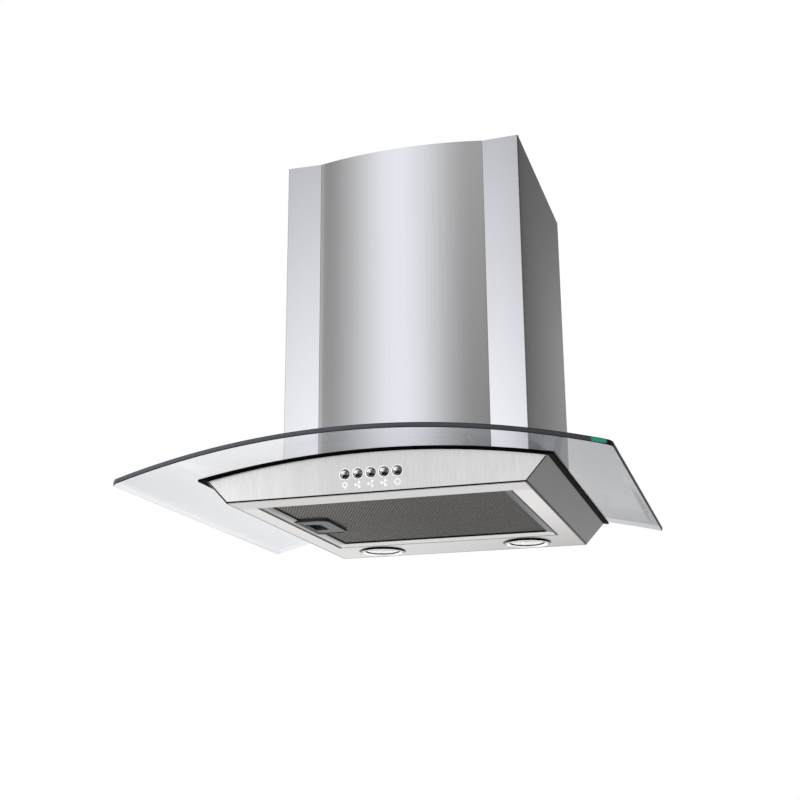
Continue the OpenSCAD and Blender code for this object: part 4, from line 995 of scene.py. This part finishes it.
def make_buttons():
    """Five chromed push buttons with domed ends, each in a collar of chrome painted grey as painted
    shade, with a white rim that is a painted highlight.
    """
    s = sizes()
    r, out = s.button_diameter / 2, s.button_out
    dome = out - 0.8 * MM
    dome_r = (r * r + dome * dome) / (2 * dome)
    tilt = math.degrees(math.asin(r / dome_r))
    crown = [(0, out)] + arc((0, out - dome_r), dome_r, 90, 90 - tilt, 20)[1:]
    flange, stem, stem_end = r + 1.1 * MM, 3 * MM, -18 * MM
    profile = crown + [(r, 0.6 * MM), (r, -1.05 * MM), (flange, -1.1 * MM), (flange, -2.3 * MM),
                       (stem, -2.3 * MM), (stem, stem_end), (0, stem_end)]
    collar = [(r + outward_mm * MM, level * MM) for outward_mm, level in
              ((0.12, -0.3), (0.12, 0.75), (0.3, 0.8), (0.85, 0.1), (1.5, 0.08), (1.65, -0.02))]
    for i, (node, body) in enumerate(BUTTONS.items()):
        place = button_place(i, s.button_up)
        lathe(node + "_cap", profile, place, ["chrome_trim"], body, [node])
        # the collar's inner steps are painted shade, its outer steps a painted highlight
        lathe(node + "_collar", collar, place, ["dark_chrome", "collar_white"], "hood",
              bands=[0, 0, 0, 1, 1])


def flat_shape(bm, loops, place):
    """Adds a flat printed shape from plan loops in metres."""
    rings = [[bm.verts.new(place @ Vector((x, y, 0))) for x, y in loop] for loop in loops]
    edges = [bm.edges.new((ring[i - 1], ring[i])) for ring in rings for i in range(len(ring))]
    bmesh.ops.triangle_fill(bm, edges=edges, use_beauty=True)


def circle(radius, centre=(0, 0), steps=32):
    """A closed loop of plan points."""
    return arc(centre, radius, 0, 360, steps)[:-1]


def bar(x1, y1, x2, y2):
    """A closed rectangle of plan points, from one corner to the other."""
    return [(x1, y1), (x2, y1), (x2, y2), (x1, y2)]


def fan_loops(radius):
    """Three slim blades about a hub."""
    made = []
    steps, half_tip, half_root = 10, 26, 24
    for middle in (180, 300, 420):
        tip = []
        for k in range(steps + 1):
            a = math.radians(middle - half_tip + 2 * half_tip * k / steps)
            swell = radius * (0.78 + 0.22 * math.sin(math.pi * k / steps))
            tip.append((swell * math.cos(a), swell * math.sin(a)))
        root = arc((0, 0), 0.2 * radius, middle + half_root, middle - half_root, 3)
        made.append(tip + root)
    return made


def make_signs():
    """Printed signs below the buttons: a lamp, three fans and a ring."""
    s = sizes()
    bm = bmesh.new()
    r = s.sign_radius
    bulb = (0, r * 0.1)
    for i in range(len(BUTTONS)):
        place = button_place(i, s.sign_up, 0.04 * MM)
        if i == 0:
            flat_shape(bm, [circle(r * 0.66, bulb), circle(r * 0.4, bulb)], place)
            for y in (-0.7, -0.96):
                flat_shape(bm, [bar(-r * 0.26, r * y, r * 0.26, r * (y + 0.14))], place)
            for turn in (30, 90, 150):
                ray = (Matrix.Translation((*bulb, 0))
                       @ Matrix.Rotation(math.radians(turn), 4, "Z"))
                flat_shape(bm, [bar(r * 0.84, -r * 0.07, r * 1.06, r * 0.07)], place @ ray)
        elif i == len(BUTTONS) - 1:
            flat_shape(bm, [circle(r * 0.8), circle(r * 0.56)], place)
        else:
            for blade in fan_loops(r * (0.9 + 0.03 * i)):
                flat_shape(bm, [blade], place)
            flat_shape(bm, [circle(r * 0.12, steps=16)], place)
    new_piece("button_signs", bm, ["sign_ink"], "hood")


def make_lamps():
    """Chromed lamp rings whose bead and flank are painted black as painted shade, and pressed
    lenses.
    """
    s = sizes()
    outer, drop = s.lamp_diameter / 2, s.lamp_drop
    lens = outer - 9.5 * MM
    gap, neck, neck_top, lens_under = 0.02 * MM, outer - 4 * MM, 8.9 * MM, 0.12 * MM
    bead = [(lens + across * MM, level * MM) for across, level in
            ((-1.3, 0), (-1.1, -1.1), (-0.8, -1.3), (0.5, -1.3), (1.0, -0.95))]
    flank = [(outer - 4.6 * MM, -2.7 * MM), (outer - 4.1 * MM, -drop), (outer - 3.4 * MM, -drop),
             (outer - 2.7 * MM, 0.2 * MM - drop), (outer - 0.3 * MM, -0.45 * MM),
             (outer, -0.2 * MM), (outer, -gap)]
    back = [(neck, -gap), (neck, neck_top), (lens + 0.2 * MM, neck_top),
            (lens + 0.2 * MM, 0.4 * MM), bead[0]]
    ring = bead + flank + back
    # the bead and the outer flank are painted black: painted shade on the chrome ring
    painted_shade_steps = (0, 1, 2, 3, 8, 9, 10)
    bands = [int(k in painted_shade_steps) for k in range(len(ring) - 1)]
    ripples = 13
    glass = [(0, 1.5 * MM), (lens, 1.5 * MM), (lens, 0.3 * MM), (lens - 0.6 * MM, lens_under)]
    for k in range(1, ripples):
        radius = (lens - 1.2 * MM) * (1 - k / ripples)
        glass += [(radius + 0.45 * MM, lens_under), (radius + 0.2 * MM, 0.25 * MM)]
    glass += [(0, lens_under)]
    for side, word in ((-1, "left"), (1, "right")):
        place = Matrix.Translation((side * s.lamp_side, -s.lamp_back, -s.hang))
        lathe(f"lamp_ring_{word}_chrome", ring, place, ["chrome_trim", "black_chrome"], "hood",
              [f"lamp_ring_{word}"], segments=96, bands=bands, sharp=24.0)
        lathe(f"lamp_lens_{word}_glass", glass, place, ["frosted_glass"], "hood",
              [f"lamp_lens_{word}"], segments=96, sharp=60.0)


def diamond_cell(pitch, row, share, relief):
    """One cell of the filter's sheet: a diamond with a hole whose rim is pressed in."""
    bm = bmesh.new()
    corners = [(0, row), (pitch / 2, 0), (0, -row), (-pitch / 2, 0)]
    outer = [bm.verts.new((x, y, 0)) for x, y in corners]
    inner = [bm.verts.new((x * share, y * share, relief)) for x, y in corners]
    for i in range(4):
        j = (i + 1) % 4
        bm.faces.new((outer[i], outer[j], inner[j], inner[i]))
    return placed("mesh_cell", mesh_of("mesh_cell", bm))


def perforation_tree():
    """Geometry nodes that repeat a cell in staggered rows, clear of a rectangle."""
    tree = bpy.data.node_groups.new("perforated_sheet", "GeometryNodeTree")
    face = tree.interface
    face.new_socket("Geometry", in_out="INPUT", socket_type="NodeSocketGeometry")
    kinds = {"Cell": "Object", "Pitch": "Float", "Row": "Float", "Columns": "Int", "Rows": "Int",
             "Centre": "Vector", "Clear Low": "Vector", "Clear High": "Vector",
             "Finish": "Material"}
    for name, kind in kinds.items():
        face.new_socket(name, in_out="INPUT", socket_type="NodeSocket" + kind)
    face.new_socket("Geometry", in_out="OUTPUT", socket_type="NodeSocketGeometry")
    net = Net(tree)
    inputs = net.node("NodeGroupInput").socket.node.outputs
    value = {name: Value(net, inputs[name]) for name in kinds}
    across = value["Pitch"] * (value["Columns"] - 1)
    along = value["Row"] * (value["Rows"] - 1)
    grid = net.node("GeometryNodeMeshGrid", None,
                    {"Size X": across, "Size Y": along,
                     "Vertices X": value["Columns"], "Vertices Y": value["Rows"]})
    index = net.node("GeometryNodeInputIndex")
    row = index.math("FLOORED_MODULO", value["Rows"])
    odd = row.math("FLOORED_MODULO", 2.0)
    shift = net.node("ShaderNodeCombineXYZ", None, {0: (odd - 0.5) * value["Pitch"] * 0.5})
    offset = net.node("ShaderNodeVectorMath", {"operation": "ADD"}, {0: shift, 1: value["Centre"]})
    points = net.node("GeometryNodeSetPosition", None, {"Geometry": grid, "Offset": offset})
    place = net.split(net.node("GeometryNodeInputPosition"))
    low, high = net.split(value["Clear Low"]), net.split(value["Clear High"])
    inside = 1.0
    for here, bottom, top in zip(place[:2], low[:2], high[:2]):
        inside = here.math("GREATER_THAN", bottom) * here.math("LESS_THAN", top) * inside
    kept = net.node("GeometryNodeDeleteGeometry", {"domain": "POINT"},
                    {"Geometry": points, "Selection": inside})
    cell = net.node("GeometryNodeObjectInfo", None, {"Object": value["Cell"]}, out="Geometry")
    cells = net.node("GeometryNodeInstanceOnPoints", None, {"Points": kept, "Instance": cell})
    solid = net.node("GeometryNodeRealizeInstances", None, {0: cells})
    joined = net.node("GeometryNodeMergeByDistance", None,
                      {"Geometry": solid, "Distance": 0.05 * MM})
    dressed = net.node("GeometryNodeSetMaterial", None,
                       {"Geometry": joined, "Material": value["Finish"]})
    net.node("NodeGroupOutput", None, {0: dressed})
    return tree


def perforated_sheet(name, cell, pitch, row, width, depth, centre, clear):
    """Runs the perforation tree over a rectangle and returns its mesh."""
    seed = placed(name + "_seed", bpy.data.meshes.new(name + "_seed"))
    holes = seed.modifiers.new("perforation", "NODES")
    holes.node_group = perforation_tree()
    wanted = {"Cell": cell, "Pitch": pitch, "Row": row, "Columns": int(width / pitch),
              "Rows": int(depth / row), "Centre": centre,
              "Clear Low": clear[0], "Clear High": clear[1], "Finish": FINISH["filter_mesh"]}
    for item in holes.node_group.interface.items_tree:
        if item.in_out == "INPUT" and item.name in wanted:
            holes[item.identifier] = wanted[item.name]
    return applied(name, seed)


def make_filter():
    """The grease filter: bevelled frame, fine perforated sheet, pull and latch."""
    s = sizes()
    eased("filter_frame", "filter_aluminium", 0.2 * MM)
    pitch, hem = s.mesh_pitch, 4 * MM
    cell = diamond_cell(pitch, s.mesh_row, s.mesh_open, s.mesh_relief)
    low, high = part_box("filter_pull")
    margin, past_frame = pitch * 0.3, 20 * MM
    centre = (0.0, -s.filter_back, s.mesh_height - s.hang)
    clear = ((low.x - past_frame, low.y - margin, 0.0), (high.x + margin, high.y + margin, 0.0))
    mesh = perforated_sheet("filter_mesh_sheet", cell, pitch, s.mesh_row, s.filter_width - hem,
                            s.filter_depth - hem, centre, clear)
    bpy.data.objects.remove(cell)
    finish_piece("filter_mesh_sheet", mesh, ["filter_mesh"], "filter",
                 ["filter_net_lower"], 20.0)
    eased("filter_pull", "dark_plastic", 0.4 * MM)
    eased("latch_slide", "black_plastic", 0.3 * MM)


def dress_nodes():
    """Gives every CAD node that still shows its procedural finish."""
    for name, node in NODES.items():
        for slot in node.material_slots:
            wanted = slot.material.name.split(".")[0]
            # the filter's core gets the nearly black finish of painted shade
            slot.material = FINISH["filter_core_painted_shade" if name == "filter_core" else wanted]


# Stage

def hide_from(obj, *rays):
    """Keeps an object out of what these kinds of ray see."""
    for ray in rays:
        setattr(obj, "visible_" + ray, False)


def make_light(name, place, target, size, watts):
    """A soft square lamp that only lights: mirrors do not show it."""
    data = bpy.data.lights.new(name, "AREA")
    data.shape = "SQUARE"
    data.size = size
    data.energy = watts
    light = placed(name, data)
    light.location = place
    light.rotation_mode = "QUATERNION"
    light.rotation_quaternion = (Vector(target) - Vector(place)).to_track_quat("-Z", "Y")
    hide_from(light, "camera", "glossy", "transmission")


def make_world():
    """White to the camera; to the steel, a soft panel in front, a bright box at the left, a lit
    floor behind and a darker room about them."""
    world = bpy.data.worlds.new("studio")
    bpy.context.scene.world = world
    world.use_nodes = True
    net = Net(world.node_tree)
    ray = net.node("ShaderNodeTexCoord", None, None, out="Generated")
    x, y, z = net.split(ray)
    around = (x * -1.0).math("ARCTAN2", y * -1.0)
    front = net.step(0 - y, -0.75, -0.45)
    above = net.step(z, -0.4, -0.1)
    right = net.step(x, 0.2, 0.4)
    panel_turn, panel_spread = math.radians(17), math.radians(28)
    panel = net.step((around - panel_turn).size(), panel_spread, 0.0) * above
    panel = panel * (1 - net.step(z, 0.6, 0.95) * 0.5)
    left = (net.step(around, math.radians(46), math.radians(52))
            * net.step(around, math.radians(140), math.radians(125))
            * net.step(z, 0.05, 0.25) * net.step(z, 0.95, 0.85))
    low_left = (1 - above) * net.step(0 - x, 0.45, 0.7)
    in_front = above * (1 - right * 0.75) * 0.44 + low_left * 0.35 + 0.05
    room = (1 - front) * 0.28 + front * in_front
    below = net.step(0 - z, 0.08, 0.3) * net.step(y, 0.0, 0.5) * (1 - net.step(x, 0.0, 0.35) * 0.8)
    down = net.step(0 - z, 0.5, 0.8) * net.step(y, 0.5, 0.1)
    over = net.step(z, 0.75, 0.95)
    level = (panel * 0.85 + left * 2.4 + room + below * 1.1 + over) * (1 - down * 0.9)
    cool = (0.965, 0.98, 1.04, 1.0)
    shade = net.blend(panel.at_most(1.0), WHITE, cool)
    rays = net.node("ShaderNodeLightPath").socket.node.outputs
    clear = Value(net, rays["Is Camera Ray"]).at_least(Value(net, rays["Is Transmission Ray"]))
    strength = level * (1 - clear) + clear
    lit = net.node("ShaderNodeBackground", None,
                   {0: net.blend(clear, shade, WHITE), 1: strength})
    net.node("ShaderNodeOutputWorld", None, {0: lit})


def make_floor():
    """A plain pale disc well below the hood, fading into the white around it."""
    middle_y, radius, below = -0.25, 2.4, 0.75
    bm = bmesh.new()
    bmesh.ops.create_circle(bm, cap_ends=True, radius=radius, segments=96)
    bmesh.ops.translate(bm, verts=bm.verts, vec=(0, middle_y, -sizes().hang - below))
    mesh = mesh_of("studio_floor", bm)
    floor = placed("studio_floor", mesh)
    f = Finish("studio_floor_paper")
    x, y = f.place()[:2]
    forth = y - middle_y
    reach = (x * x + forth * forth) ** 0.5
    rim = f.step(reach, 1.0, radius - 0.1)
    paper = f.noise(3.0, detail=3.0)
    grey = f.blend(paper, paint("#EFEFEE"), paint("#F3F3F2"))
    matt = f.node("ShaderNodeBsdfPrincipled", None, {"Base Color": grey, "Roughness": 0.9})
    glow = f.node("ShaderNodeEmission", None, {0: WHITE, 1: 1.0})
    both = f.node("ShaderNodeMixShader", None, {0: rim, 1: matt, 2: glow})
    f.node("ShaderNodeOutputMaterial", None, {0: both})
    mesh.materials.append(f.material)
    hide_from(floor, "glossy")


def make_camera():
    """The photograph's camera, solved from the hood's corners."""
    data = bpy.data.cameras.new("photo_camera")
    data.lens = 56.883
    data.sensor_width = 36.0
    data.clip_start, data.clip_end = 0.05, 50.0
    camera = placed("photo_camera", data)
    yaw, pitch, roll = (math.radians(a) for a in (16.866, 16.537, -0.448))
    turn = (Matrix.Rotation(yaw, 4, "Z") @ Matrix.Rotation(math.pi / 2 + pitch, 4, "X")
            @ Matrix.Rotation(roll, 4, "Z"))
    spot = (0.462262, -1.841775, -0.522716)
    camera.matrix_world = Matrix.Translation(spot) @ turn
    bpy.context.scene.camera = camera


def make_stage():
    """World, floor, camera and three soft lamps."""
    make_world()
    make_floor()
    make_camera()
    make_light("soft_key", (-1.6, -2.2, 1.1), (0, -0.2, 0.1), 1.6, 34)
    make_light("low_fill", (-0.6, -1.6, -0.85), (0, -0.25, -0.1), 1.4, 12)
    make_light("top_fill", (0.5, -0.4, 1.9), (0, -0.2, 0), 1.6, 14)
    bpy.context.scene.view_settings.view_transform = "Standard"


# Operators

class HOOD_OT_finishes(Operator):
    """Make the procedural finishes and put them on the nodes"""
    bl_idname = "hood.finishes"
    bl_label = "Finishes"

    def execute(self, context):
        make_finishes(context.scene.hood_colours)
        dress_nodes()
        return {"FINISHED"}


class HOOD_OT_glass(Operator):
    """Make the arched glass canopy"""
    bl_idname = "hood.glass"
    bl_label = "Glass canopy"

    def execute(self, context):
        make_glass()
        return {"FINISHED"}


class HOOD_OT_chimney(Operator):
    """Make the folded sheets of the chimney"""
    bl_idname = "hood.chimney"
    bl_label = "Chimney"

    def execute(self, context):
        make_chimney()
        return {"FINISHED"}


class HOOD_OT_body(Operator):
    """Make the body's panels and the seal"""
    bl_idname = "hood.body"
    bl_label = "Body and seal"

    def execute(self, context):
        make_body()
        return {"FINISHED"}


class HOOD_OT_buttons(Operator):
    """Make the push buttons"""
    bl_idname = "hood.buttons"
    bl_label = "Push buttons"

    def execute(self, context):
        make_buttons()
        return {"FINISHED"}


class HOOD_OT_signs(Operator):
    """Make the printed signs"""
    bl_idname = "hood.signs"
    bl_label = "Signs"

    def execute(self, context):
        make_signs()
        return {"FINISHED"}


class HOOD_OT_lamps(Operator):
    """Make the lamp rings and lenses"""
    bl_idname = "hood.lamps"
    bl_label = "Lamps"

    def execute(self, context):
        make_lamps()
        return {"FINISHED"}


class HOOD_OT_filter(Operator):
    """Make the grease filter, its pull and its latch"""
    bl_idname = "hood.filter"
    bl_label = "Grease filter"

    def execute(self, context):
        make_filter()
        return {"FINISHED"}


class HOOD_OT_stage(Operator):
    """Make the floor, the light and the camera"""
    bl_idname = "hood.stage"
    bl_label = "Stage"

    def execute(self, context):
        make_stage()
        return {"FINISHED"}


OPERATORS = (HOOD_OT_finishes, HOOD_OT_glass, HOOD_OT_chimney, HOOD_OT_body, HOOD_OT_buttons,
             HOOD_OT_signs, HOOD_OT_lamps, HOOD_OT_filter, HOOD_OT_stage)


class HOOD_PT_sidebar(Panel):
    """Lists the hood's pieces and their sizes"""
    bl_label = "Cooker hood"
    bl_idname = "HOOD_PT_sidebar"
    bl_space_type = "VIEW_3D"
    bl_region_type = "UI"
    bl_category = "Hood"

    def draw(self, context):
        for operator in OPERATORS:
            self.layout.operator(operator.bl_idname)
        for group in (context.scene.hood_sizes, context.scene.hood_colours):
            box = self.layout.box()
            for name in group.__annotations__:
                box.prop(group, name)


CLASSES = (HoodSizes, HoodColours) + OPERATORS + (HOOD_PT_sidebar,)


def register():
    for cls in CLASSES:
        bpy.utils.register_class(cls)
    bpy.types.Scene.hood_sizes = PointerProperty(type=HoodSizes)
    bpy.types.Scene.hood_colours = PointerProperty(type=HoodColours)


def unregister():
    del bpy.types.Scene.hood_colours
    del bpy.types.Scene.hood_sizes
    for cls in reversed(CLASSES):
        bpy.utils.unregister_class(cls)


def main():
    """Registers the add-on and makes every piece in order."""
    register()
    for operator in OPERATORS:
        getattr(bpy.ops.hood, operator.bl_idname.split(".")[1])()


if __name__ == "__main__":
    main()
